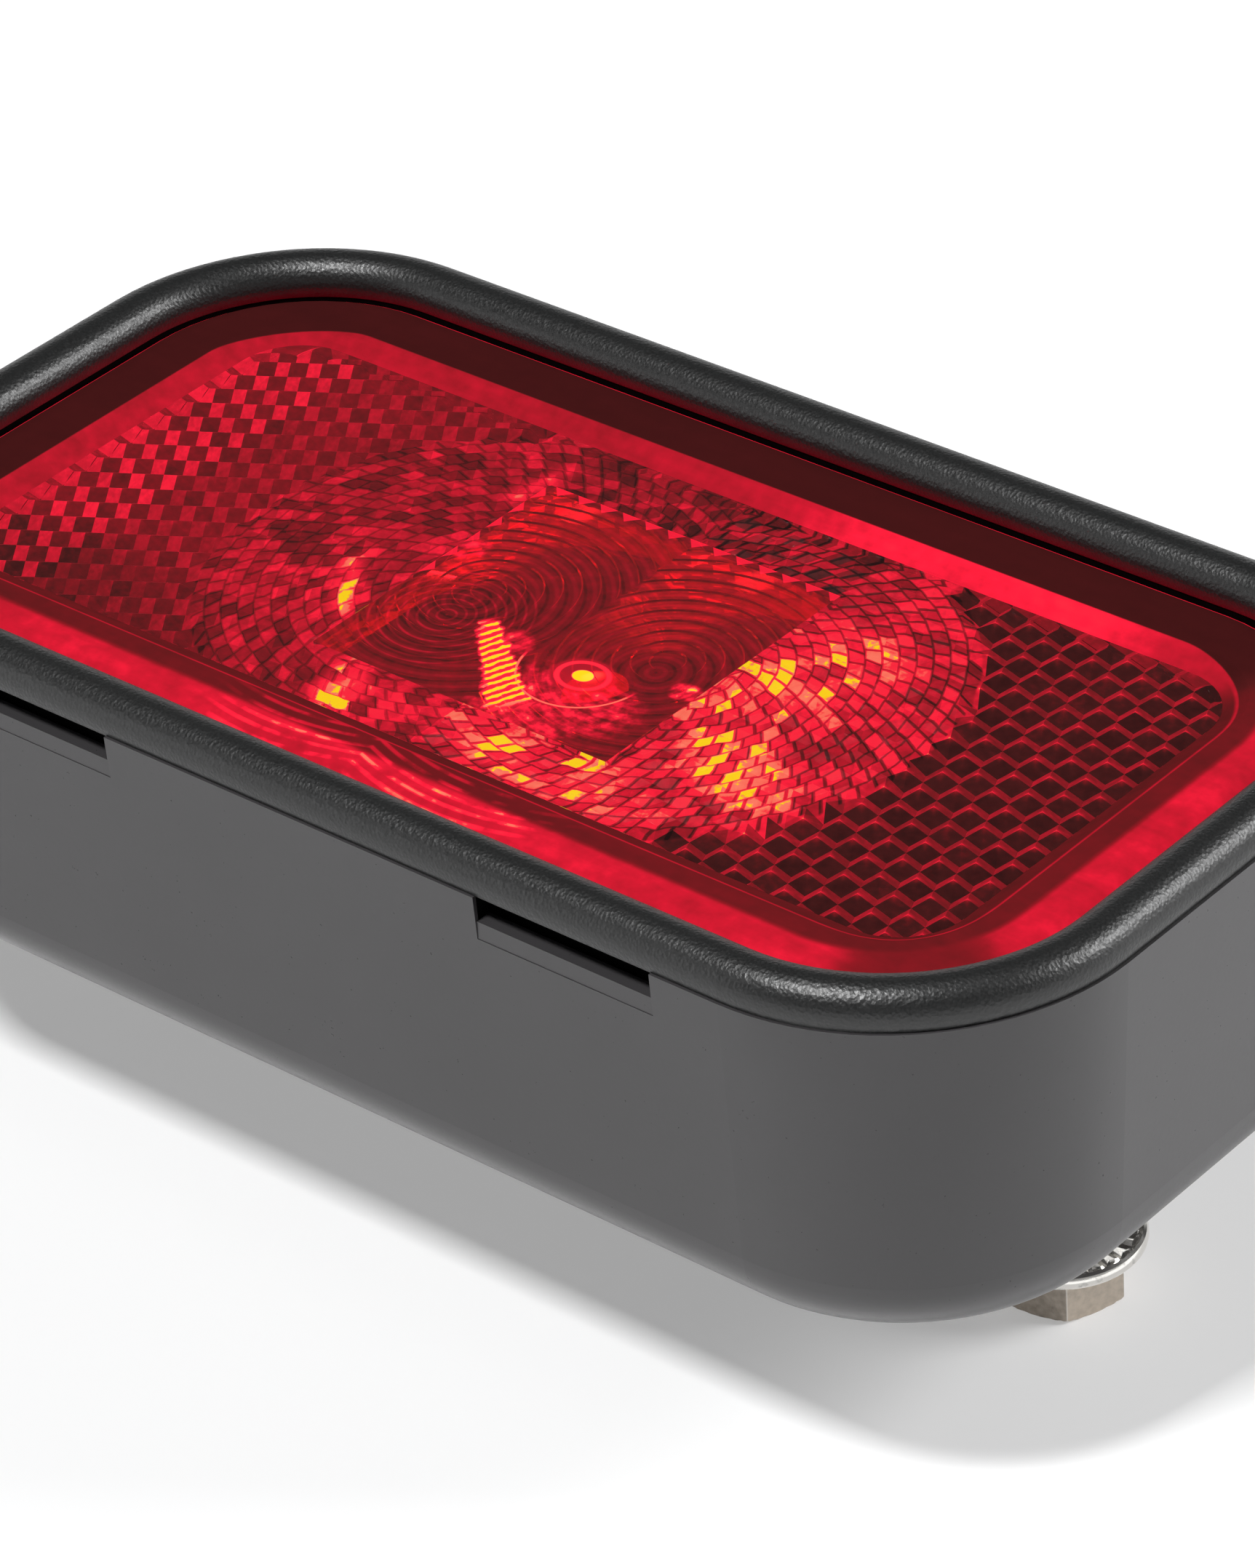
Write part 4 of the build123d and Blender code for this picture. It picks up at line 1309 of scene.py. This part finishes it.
@dataclass
class CornerPrisms:
    """The reflex field at one end of the lens: hexagonal cube corners, sunk in the acrylic.

    Within the discs only the part shallow of the prisms' depth is left. The tremors are how far the
    levels of a prism's faces, and of each half of a face, stray.
    """

    side: Side
    top: float = 25.2
    flats: float = 2.35
    half_x: float = 43.15
    half_y: float = 18.05
    corner: float = 4.9
    wall: float = 0.25
    shallow: float = 0.25
    column_shift: float = 0.63
    row_shift: float = 0.3
    end_x: float = -35.5
    face_tremor: float = 0.08
    half_tremor: float = 0.04
    seed: int = 7

    def build(self) -> bpy.types.Object:
        """Builds and dresses the field.

        Returns:
            The piece.
        """
        bm = bmesh.new()
        glow = bm.faces.layers.float.new("glow")
        draw = random.Random(self.seed + self.side.value)
        radius = self.flats / math.sqrt(3.0)
        pitch = radius * 1.5
        columns = int(self.half_x / pitch) + 2
        rows = int(self.half_y / self.flats) + 2
        for column in range(-1, columns):
            x = self.side.value * (pitch * 0.5 + column * pitch) + self.column_shift
            for row in range(-rows, rows + 1):
                y = (row + 0.5 * (column % 2)) * self.flats - max(0, self.side.value) * self.row_shift
                self.cell(bm, x, y, radius, draw, glow)
        bmesh.ops.remove_doubles(bm, verts=bm.verts, dist=1e-6)
        self.trim(bm)
        for vert in bm.verts:
            if in_disc(vert.co.x / MM, vert.co.y / MM):
                vert.co.z = self.top * MM - (self.top * MM - vert.co.z) * self.shallow
        # The mesh carries the painted pools of light, and which points are the prisms' tips
        warmth = bm.verts.layers.float.new("warmth")
        peak = bm.verts.layers.float.new("peak")
        for vert in bm.verts:
            vert[warmth] = hot(vert.co.x / MM, vert.co.y / MM)
            vert[peak] = float(vert.co.z > (self.top - 0.02) * MM)
        bmesh.ops.recalc_face_normals(bm, faces=bm.faces)
        if sum(face.normal.z * face.calc_area() for face in bm.faces) < 0.0:
            bmesh.ops.reverse_faces(bm, faces=bm.faces)
        name = f"lens_prisms_{self.side.name.lower()}"
        piece = finish_piece(bm, name, "cover", GLOWING_FACETS, smooth=10.0)
        shell = piece.modifiers.new("wall", "SOLIDIFY")
        shell.thickness = self.wall * MM
        shell.offset = -1.0
        return piece

    def cell(
        self,
        bm: bmesh.types.BMesh,
        x: float,
        y: float,
        radius: float,
        draw: random.Random,
        glow: bmesh.types.BMLayerItem,
    ) -> None:
        """Adds one cube corner.

        Args:
            bm: the field's mesh.
            x: the cell's middle, in millimetres.
            y: the same along the width.
            radius: from the middle to a corner.
            draw: the source of small differences.
            glow: the layer of brightness.
        """
        turn = Matrix.Rotation(math.radians(-90.0), 4, "Z")
        place = Matrix.Translation((x * MM, y * MM, self.top * MM)) @ turn
        made = bmesh.ops.create_circle(bm, cap_ends=True, segments=6, radius=radius * MM, matrix=place)
        step = radius / math.sqrt(2.0)
        for vert in made["verts"]:
            angle = round(math.degrees(math.atan2(vert.co.y - y * MM, vert.co.x - x * MM))) % 120
            # Every second corner is low, and the right field is turned by 60 degrees
            if (30 <= angle <= 90) == (self.side is Side.RIGHT):
                vert.co.z -= step * MM
        poked = bmesh.ops.poke(bm, faces=[made["verts"][0].link_faces[0]])
        poked["verts"][0].co.z = (self.top - 2.0 * step) * MM
        shades: dict[int, float] = {}
        start = 0.0 if self.side is Side.LEFT else 60.0
        for face in poked["faces"]:
            middle = face.calc_center_median()
            angle = math.degrees(math.atan2(middle.y - y * MM, middle.x - x * MM)) % 360.0
            third = int(((angle - start) % 360.0) // 120.0)
            if third not in shades:
                shades[third] = draw.random()
            face[glow] = self.shade(middle.x / MM, middle.y / MM, third, shades[third], draw.random())

    def shade(self, x: float, y: float, third: int, chance: float, tremor: float) -> float:
        """The brightness of one face.

        Args:
            x: the face's middle.
            y: the same along the width.
            third: which of the cell's three faces it is.
            chance: the face's random number.
            tremor: the random number of its half.

        Returns:
            A place on the glow ramp.
        """
        level = FACE_LEVELS[self.side, self.zone(x, y)][third]
        return level + (chance - 0.5) * self.face_tremor + (tremor - 0.5) * self.half_tremor

    def zone(self, x: float, y: float) -> Zone:
        """The area that a face lies in.

        Args:
            x: the face's middle.
            y: the same along the width.

        Returns:
            The area.
        """
        if in_disc(x, y):
            return Zone.STRIP if y > WINDOW_HALF_Y and abs(x) < WINDOW_HALF_X else Zone.DISC
        return Zone.END if self.side is Side.LEFT and x < self.end_x else Zone.OPEN

    def trim(self, bm: bmesh.types.BMesh) -> None:
        """Cuts the field to its outline and leaves the window free.

        Args:
            bm: the field's mesh.
        """
        sign = self.side.value
        cut(bm, (0.0, 0.0, 0.0), (-sign, 0.0, 0.0))
        cut(bm, (sign * self.half_x, 0.0, 0.0), (sign, 0.0, 0.0))
        for way in (-1, 1):
            cut(bm, (0.0, way * self.half_y, 0.0), (0.0, way, 0.0))
            middle = Vector((sign * (self.half_x - self.corner), way * (self.half_y - self.corner), 0.0))
            for degrees in (15.0, 35.0, 55.0, 75.0):
                turn = math.radians(degrees)
                out = Vector((sign * math.cos(turn), way * math.sin(turn), 0.0))
                cut(bm, middle + out * self.corner, out)
        cut(bm, (sign * WINDOW_HALF_X, 0.0, 0.0), (1.0, 0.0, 0.0), drop=False)
        for way in (1, -1):
            cut(bm, (0.0, way * WINDOW_HALF_Y, 0.0), (0.0, 1.0, 0.0), drop=False)
        inside = []
        for face in bm.faces:
            middle = face.calc_center_median() / MM
            if abs(middle.x) < WINDOW_HALF_X and abs(middle.y) < WINDOW_HALF_Y:
                inside.append(face)
        bmesh.ops.delete(bm, geom=inside, context="FACES")


@dataclass
class LensPlate:
    """Clear acrylic round the prisms, with a hole for the window."""

    foot: RoundedOutline = RoundedOutline(43.18, 18.08, 5.03, 26.1)
    hole: RoundedOutline = RoundedOutline(WINDOW_HALF_X + 0.01, WINDOW_HALF_Y + 0.01, 0.05, 26.1)
    bottom: float = 22.95

    def build(self) -> bpy.types.Object:
        """Builds and dresses the plate.

        Returns:
            The piece.
        """
        bm = bmesh.new()
        below = [outline.grown(0.0, self.bottom) for outline in (self.foot, self.hole)]
        ring_solid(bm, [self.foot, *below, self.hole], segments=10)
        return finish_piece(bm, "lens_plate", "cover", CLEAR_ACRYLIC, smooth=30.0)


@dataclass
class LensWindow:
    """The lamp's window: red acrylic with rings underneath round two centres."""

    half_x: float = WINDOW_HALF_X
    half_y: float = WINDOW_HALF_Y
    top: float = 26.1
    ceiling: float = 25.0
    depth: float = 0.18
    pitch: float = WINDOW_PITCH
    slant: float = 0.12
    centre: float = 8.0
    steps: int = 96

    def build(self) -> bpy.types.Object:
        """Builds and dresses the window.

        Returns:
            The piece.
        """
        bm = bmesh.new()
        for side in Side:
            self.half(bm, side)
        bmesh.ops.remove_doubles(bm, verts=bm.verts, dist=2e-6)
        rim = [edge for edge in bm.edges if len(edge.link_faces) == 1]
        for item in bmesh.ops.extrude_edge_only(bm, edges=rim)["geom"]:
            if isinstance(item, bmesh.types.BMVert):
                item.co.z = self.top * MM
        rim = [edge for edge in bm.edges if len(edge.link_faces) == 1]
        bmesh.ops.contextual_create(bm, geom=rim)
        bmesh.ops.recalc_face_normals(bm, faces=bm.faces)
        return finish_piece(bm, "lens_window", "cover", RED_ACRYLIC, smooth=18.0)

    def half(self, bm: bmesh.types.BMesh, side: Side) -> None:
        """Adds the rings of one half.

        Args:
            bm: the window's mesh.
            side: which half.
        """
        part = bmesh.new()
        profile = []
        place = 0.0
        while place < math.hypot(self.half_x + 1.0, self.half_y) + 4.0:
            profile += [(place, self.ceiling), (place + self.pitch - self.slant, self.ceiling - self.depth)]
            place += self.pitch
        lathe(part, side.value * self.centre, profile, self.steps)
        cut(part, (0.0, 0.0, 0.0), (-side.value, 0.0, 0.0))
        cut(part, (side.value * self.half_x, 0.0, 0.0), (side.value, 0.0, 0.0))
        for way in (-1, 1):
            cut(part, (0.0, way * self.half_y, 0.0), (0.0, way, 0.0))
        mesh = bpy.data.meshes.new("half")
        part.to_mesh(mesh)
        part.free()
        bm.from_mesh(mesh)
        bpy.data.meshes.remove(mesh)


@dataclass
class LensFrame:
    """The lens's flat frame, sloped down to the field and rounded to the bezel."""

    segments: int = 14
    foot: RoundedOutline = RoundedOutline(43.2, 18.1, 5.05, 26.1)
    brink: RoundedOutline = RoundedOutline(44.95, 19.85, 6.8, 27.0)
    flat: RoundedOutline = RoundedOutline(48.3, 23.2, 11.9, 27.0)
    crisp: float = 0.25
    round: float = 2.3
    flange_grow: float = 1.08
    flange_top: float = 24.9
    flange_low: float = 23.4
    bottom: float = 22.9

    def build(self) -> bpy.types.Object:
        """Builds and dresses the frame.

        Returns:
            The piece.
        """
        bm = bmesh.new()
        ring_solid(bm, self.section(), self.segments)
        piece = finish_piece(bm, "lens_frame", "cover", GLOWING_FRAME, smooth=25.0)
        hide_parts("lens")
        return piece

    def section(self) -> list[RoundedOutline]:
        """The frame's section.

        Returns:
            Its corners, from the field's edge outwards and back underneath.
        """
        top = self.flat.height
        half_way = (self.brink.half_x - self.foot.half_x) / 2.0
        section = [
            self.foot.grown(0.0, self.bottom),
            self.foot,
            self.foot.grown(half_way, (self.foot.height + top) / 2.0),
            self.brink,
            self.brink.grown(self.crisp, top),
            self.flat.grown(-self.crisp, top),
            self.flat,
        ]
        for degrees in (20.0, 40.0, 60.0, 78.0):
            turn = math.radians(degrees)
            drop = self.round * (1.0 - math.cos(turn))
            section.append(self.flat.grown(self.round * math.sin(turn), top - drop))
        outer = self.flat.grown(self.round, self.flange_top)
        flange = outer.grown(self.flange_grow, self.flange_top)
        section += [outer, flange, flange.grown(0.0, self.flange_low)]
        return section + [outer.grown(0.0, height) for height in (self.flange_low, self.bottom)]


# Finishes in use

GLOWING_FACETS = GlowingFacets("lens_facets").material()
GLOWING_FRAME = GlowingFrame("lens_frame_red").material()
CLEAR_ACRYLIC = ClearAcrylic("lens_clear", (1.0, 0.9, 0.9)).material()
RED_ACRYLIC = WindowAcrylic("lens_red", (0.5, 0.006, 0.01), haze=0.04).material()
BOLT_STEEL = PlatedMetal("bolt_zinc", (0.62, 0.62, 0.61), (0.4, 0.39, 0.37))
NUT_NICKEL = MilledNut("nut_bright")


@dataclass
class CarrierBolt:
    """One M5 bolt through the case's back, with its real thread."""

    side: Side
    crest: float = 2.5
    crest_span: Pair = (0.35, 0.45)
    root: float = 2.08
    pitch: float = 0.8
    tip: float = -12.4
    tip_inset: float = 0.2
    neck: float = 3.2
    head_flats: float = 7.9
    head_top: float = 6.7
    head_edge: float = 0.22
    turn_steps: int = 28

    def build(self) -> None:
        """Builds and dresses head and threaded shank."""
        name = self.side.name.lower()
        material = BOLT_STEEL.material()
        bm = bmesh.new()
        self.thread(bm)
        shank = finish_piece(bm, f"bolt_thread_{name}", "case", material, smooth=30.0)
        bm = bmesh.new()
        self.head(bm)
        head = finish_piece(bm, f"bolt_head_{name}", "case", material, smooth=30.0)
        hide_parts(f"stud_{name}")
        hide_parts(f"stud_{name}")

    def thread(self, bm: bmesh.types.BMesh) -> None:
        """Winds the thread and cuts it square at both ends.

        Args:
            bm: the shank's mesh.
        """
        x = self.side.value * STUD_X
        low = self.tip - 1.5 * self.pitch
        crest_low, crest_high = (low + rise for rise in self.crest_span)
        profile = [
            (self.root, low),
            (self.crest, crest_low),
            (self.crest, crest_high),
            (self.root, low + self.pitch),
        ]
        turns = math.ceil((self.neck - low) / self.pitch) + 1
        lathe(bm, x, profile, self.turn_steps, turns, self.pitch)
        cut(bm, (0.0, 0.0, self.tip), (0.0, 0.0, -1.0))
        cut(bm, (0.0, 0.0, self.neck), (0.0, 0.0, 1.0))
        for vert in bm.verts:
            limit = self.root - self.tip_inset + max(0.0, vert.co.z / MM - self.tip)
            out = Vector((vert.co.x - x * MM, vert.co.y))
            if out.length > limit * MM:
                out = out.normalized() * limit * MM
                vert.co.x, vert.co.y = x * MM + out.x, out.y
        bmesh.ops.holes_fill(bm, edges=bm.edges, sides=0)
        bmesh.ops.recalc_face_normals(bm, faces=bm.faces)

    def head(self, bm: bmesh.types.BMesh) -> None:
        """Forms the hexagon head.

        Args:
            bm: the head's mesh.
        """
        radius = self.head_flats / math.sqrt(3.0) * MM
        middle = (self.side.value * STUD_X * MM, 0.0, (self.head_top + self.neck) / 2.0 * MM)
        bmesh.ops.create_cone(
            bm,
            cap_ends=True,
            segments=6,
            radius1=radius,
            radius2=radius,
            depth=(self.head_top - self.neck) * MM,
            matrix=Matrix.Translation(middle) @ Matrix.Rotation(math.radians(30.0), 4, "Z"),
        )
        bmesh.ops.bevel(
            bm,
            geom=list(bm.edges),
            offset=self.head_edge * MM,
            segments=3,
            profile=0.5,
            affect="EDGES",
            material=-1,
        )


@dataclass
class FlangeNut:
    """One M5 nut with a serrated flange, turned and then milled to a hexagon.

    The blank is the section that is turned, as distances from the stud and heights in millimetres. The
    hexagon takes in what lies below hexagon_top and outside core, and the teeth are cut in the face from
    teeth_inner outwards, each a ramp with a steep back.
    """

    side: Side
    flats: float = 8.0
    hexagon_top: float = -9.6
    core: float = 3.5
    face: float = -7.8
    steps: int = 144
    teeth: int = 24
    teeth_inner: float = 3.8
    tooth: float = 0.42
    steep: float = 0.98
    margin: float = 0.01
    blank: tuple[Pair, ...] = (
        (2.56, -8.1), (2.9, -7.85), (3.5, -7.85), (3.55, -8.25), (3.85, -7.8), (4.5, -7.8),
        (5.15, -7.8), (5.3, -8.15), (5.55, -7.92), (5.76, -8.05), (5.88, -8.3), (5.9, -8.5),
        (5.86, -8.75), (5.72, -8.95), (5.4, -9.1), (5.0, -9.25), (4.8, -9.4), (4.7, -9.6),
        (4.7, -10.2), (4.7, -10.8), (4.7, -11.4), (4.7, -12.0), (4.7, -12.46), (4.5, -12.6),
        (4.25, -12.72), (4.02, -12.8), (2.95, -12.8), (2.56, -12.5), (2.56, -8.1),
    )

    def build(self) -> None:
        """Builds and dresses the nut."""
        name = self.side.name.lower()
        x = self.side.value * STUD_X
        bm = bmesh.new()
        lathe(bm, x, self.blank, self.steps)
        for vert in bm.verts:
            self.mill(vert, x)
        bmesh.ops.recalc_face_normals(bm, faces=bm.faces)
        material = NUT_NICKEL.material()
        piece = finish_piece(bm, f"nut_{name}", f"nut_{name}", material, smooth=22.0)
        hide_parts(f"flange_nut_{name}")

    def mill(self, vert: bmesh.types.BMVert, x: float) -> None:
        """Mills one point to the hexagon, or cuts the flange's teeth there.

        Args:
            vert: a point of the turned blank.
            x: the nut's middle, in millimetres.
        """
        out = Vector((vert.co.x / MM - x, vert.co.y / MM))
        height = vert.co.z / MM
        angle = math.degrees(math.atan2(out.y, out.x))
        if height < self.hexagon_top + self.margin and out.length > self.core:
            from_flat = (angle - HEXAGON_TURN) % 60.0 - 30.0
            limit = self.flats / 2.0 / math.cos(math.radians(from_flat))
            if out.length > limit:
                out = out.normalized() * limit
                vert.co.x, vert.co.y = (x + out.x) * MM, out.y * MM
        elif height > self.face - self.margin and out.length > self.teeth_inner:
            phase = (angle / 360.0 * self.teeth) % 1.0
            vert.co.z -= self.tooth * (0.0 if phase > self.steep else phase) * MM


@dataclass
class NodeDress:
    """Finishes for the CAD nodes that keep their own shape."""

    def dress(self) -> None:
        """Gives every shown node its material."""
        plating = (0.76, 0.74, 0.69)
        finishes = {
            # The case's notches are painted matt black behind the wall's outer skin: painted shade
            "case_plastic": ShadedPlastic(
                name="case_grey",
                colour=(0.041, 0.039, 0.041),
                roughness=0.3,
                grain_mm=0.3,
                grain_depth_mm=0.002,
                low=24.36,
                high=26.35,
                notch=23.6,
            ),
            # The bezel is painted matt black from 0 to 26.29 mm high: painted shade
            "bezel_plastic": ShadedPlastic(
                name="bezel_black",
                colour=(0.008, 0.0083, 0.0083),
                roughness=0.4,
                grain_mm=0.17,
                grain_depth_mm=0.03,
                sparkle=0.25,
                gloss=0.6,
            ),
            "seal_rubber": SoftRubber("seal_black"),
            "tray_plastic": MouldedPlastic(
                "tray_black", (0.035, 0.035, 0.037), roughness=0.5, grain_mm=0.35, grain_depth_mm=0.012
            ),
            "screw_steel": PlatedMetal("screw_zinc", (0.6, 0.6, 0.58), (0.42, 0.38, 0.3), roughness=0.32),
            "contact_steel": PlatedMetal("contact_nickel", plating, (0.5, 0.46, 0.4), roughness=0.2),
            "board_laminate": BoardMask("board_green"),
            "led_epoxy": LampEpoxy("lamp_lit"),
            "chip_black": MouldedPlastic(
                "chip_black", (0.02, 0.02, 0.021), roughness=0.55, grain_mm=0.12, grain_depth_mm=0.008
            ),
            "capacitor_tan": MouldedPlastic(
                "capacitor_tan", (0.5, 0.3, 0.08), roughness=0.42, grain_mm=0.15, grain_depth_mm=0.006
            ),
            "plunger_white": MouldedPlastic(
                "plunger_white", (0.72, 0.72, 0.69), roughness=0.4, grain_mm=0.2, grain_depth_mm=0.006
            ),
            "button_rubber": MouldedPlastic(
                "button_black", (0.03, 0.03, 0.031), roughness=0.58, grain_mm=0.26, grain_depth_mm=0.02
            ),
            "shroud_grey": MouldedPlastic(
                "shroud_grey", (0.05, 0.05, 0.052), roughness=0.3, grain_mm=0.5, grain_depth_mm=0.006
            ),
            "wire_red_sleeve": WireSleeve("sleeve_red", (0.5, 0.014, 0.012)),
            "wire_black_sleeve": WireSleeve("sleeve_black", (0.018, 0.018, 0.018)),
        }
        made = {slot: finish.material() for slot, finish in finishes.items()}
        for side in Side:
            low, high = (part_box(f"battery_{side.name.lower()}")[i].y / MM for i in (0, 1))
            jacket = CellJacket(f"cell_{side.name.lower()}", low, high)
            made[f"battery_{side.name.lower()}"] = jacket.material()
        for part in frame["record"]["subparts"]:
            name = part["node"]
            key = name if name in made else part["material_slot"]
            if key in made:
                self.coat(frame["nodes"][name], made[key])

    @staticmethod
    def coat(node: bpy.types.Object, material: bpy.types.Material) -> None:
        """Puts one material on a node.

        Args:
            node: the CAD node's object.
            material: its finish.
        """
        node.data.materials.clear()
        node.data.materials.append(material)
        log.info("%s wears %s", node.name, material.name)


@dataclass
class Studio:
    """Pale floor, soft light and a dim room."""

    floor_height: float = -12.8
    floor_half: float = 1.6
    floor_gap: float = 0.01
    floor_colour: Colour = (0.97, 0.97, 0.973)
    floor_lift: float = 0.3

    def build(self) -> None:
        """Sets the floor, lamps and world."""
        self.floor()
        self.lamp("key", (-0.05, -0.4, 0.9), size=0.15, power=8.9)
        self.lamp("right", (0.65, 0.54, 0.5), size=0.35, power=7.2)
        self.lamp("left", (-0.6, -0.68, 0.26), size=0.4, power=0.8)
        self.room()

    def floor(self) -> None:
        """Lays the floor under the nuts."""
        bm = bmesh.new()
        place = Matrix.Translation((0.0, 0.0, (self.floor_height - self.floor_gap) * MM))
        bmesh.ops.create_grid(bm, x_segments=8, y_segments=8, size=self.floor_half, matrix=place)
        mesh = bpy.data.meshes.new("floor")
        bm.to_mesh(mesh)
        bm.free()
        floor = bpy.data.objects.new("floor", mesh)
        bpy.context.scene.collection.objects.link(floor)
        shader = Shader("floor_pale")
        tone = shader.noise(60.0, 3.0)
        pale = shader.mix(tone, scaled(self.floor_colour, 0.99), self.floor_colour)
        paper = shader.principled(Base_Color=pale, Roughness=0.8, Specular_IOR_Level=0.1)
        white = shader.node("ShaderNodeEmission", {}, {"Color": (1.0, 1.0, 1.0), "Strength": 1.0})
        kinds = ("Camera", "Glossy", "Transmission")
        rays = [shader.node("ShaderNodeLightPath", {}, {}, f"Is {kind} Ray") for kind in kinds]
        seen = (rays[0] + rays[1] + rays[2]).limit()
        floor.data.materials.append(shader.end(shader.either(seen * self.floor_lift, paper, white)))

    @staticmethod
    def lamp(name: str, place: Triple, size: float, power: float) -> None:
        """Hangs one square soft lamp that looks at the light.

        Args:
            name: the lamp's name.
            place: where it hangs, in metres.
            size: its side, in metres.
            power: in watts.
        """
        data = bpy.data.lights.new(name, "AREA")
        data.shape = "SQUARE"
        data.size = size
        data.energy = power
        lamp = bpy.data.objects.new(name, data)
        lamp.location = place
        lamp.rotation_euler = (-Vector(place)).to_track_quat("-Z", "Y").to_euler()
        bpy.context.scene.collection.objects.link(lamp)

    @staticmethod
    def room() -> None:
        """Makes the room pale low down, most of all behind the light, and dim overhead."""
        shader = Shader("room", world=True)
        bpy.context.scene.world = shader.owner
        where = shader.node("ShaderNodeTexCoord", {}, {}, "Generated")
        behind = (where.part(1) * 0.74 - where.part(0) * 0.67).rise(-0.5, 0.8)
        low = where.part(2).fall(0.1, 0.36)
        level = 0.05 + low * (0.3 + behind * 0.75)
        back = shader.node("ShaderNodeBackground", {}, {"Color": (1.0, 1.0, 1.0), "Strength": level})
        shader.node("ShaderNodeOutputWorld", {}, {"Surface": back})


@dataclass
class ViewCamera:
    """The camera at the photograph's angle."""

    aim: Triple = (0.0068, -0.0036, 0.01715)
    distance: float = 0.4333
    azimuth: float = 42.234
    elevation: float = 33.572
    roll: float = -4.133
    lens: float = 146.79

    def build(self) -> None:
        """Sets the camera up and makes it the scene's own."""
        a, e, r = (math.radians(v) for v in (self.azimuth, self.elevation, self.roll))
        back = Vector((math.sin(a) * math.cos(e), -math.cos(a) * math.cos(e), math.sin(e)))
        level = Vector((math.cos(a), math.sin(a), 0.0))
        steep = back.cross(level)
        right = level * math.cos(r) + steep * math.sin(r)
        up = steep * math.cos(r) - level * math.sin(r)
        data = bpy.data.cameras.new("view")
        data.lens = self.lens
        data.sensor_width = 36.0
        data.clip_start = 0.01
        camera = bpy.data.objects.new("view", data)
        turn = Matrix((right, up, back)).transposed().to_4x4()
        camera.matrix_world = Matrix.Translation(Vector(self.aim) + back * self.distance) @ turn
        bpy.context.scene.collection.objects.link(camera)
        bpy.context.scene.camera = camera


def main() -> None:
    """Builds the scene around the CAD frame, and reports each piece."""
    logging.basicConfig(level=logging.INFO, format="%(message)s")
    bpy.context.scene.view_settings.view_transform = "Standard"
    ViewCamera().build()
    Studio().build()
    LensFrame().build()
    prisms = [CornerPrisms(side).build() for side in Side]
    plate = LensPlate().build()
    window = LensWindow().build()
    for piece in (*prisms, plate, window):
        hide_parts("lens")
    for side in Side:
        CarrierBolt(side).build()
        FlangeNut(side).build()
    NodeDress().dress()


if __name__ == "__main__":
    main()
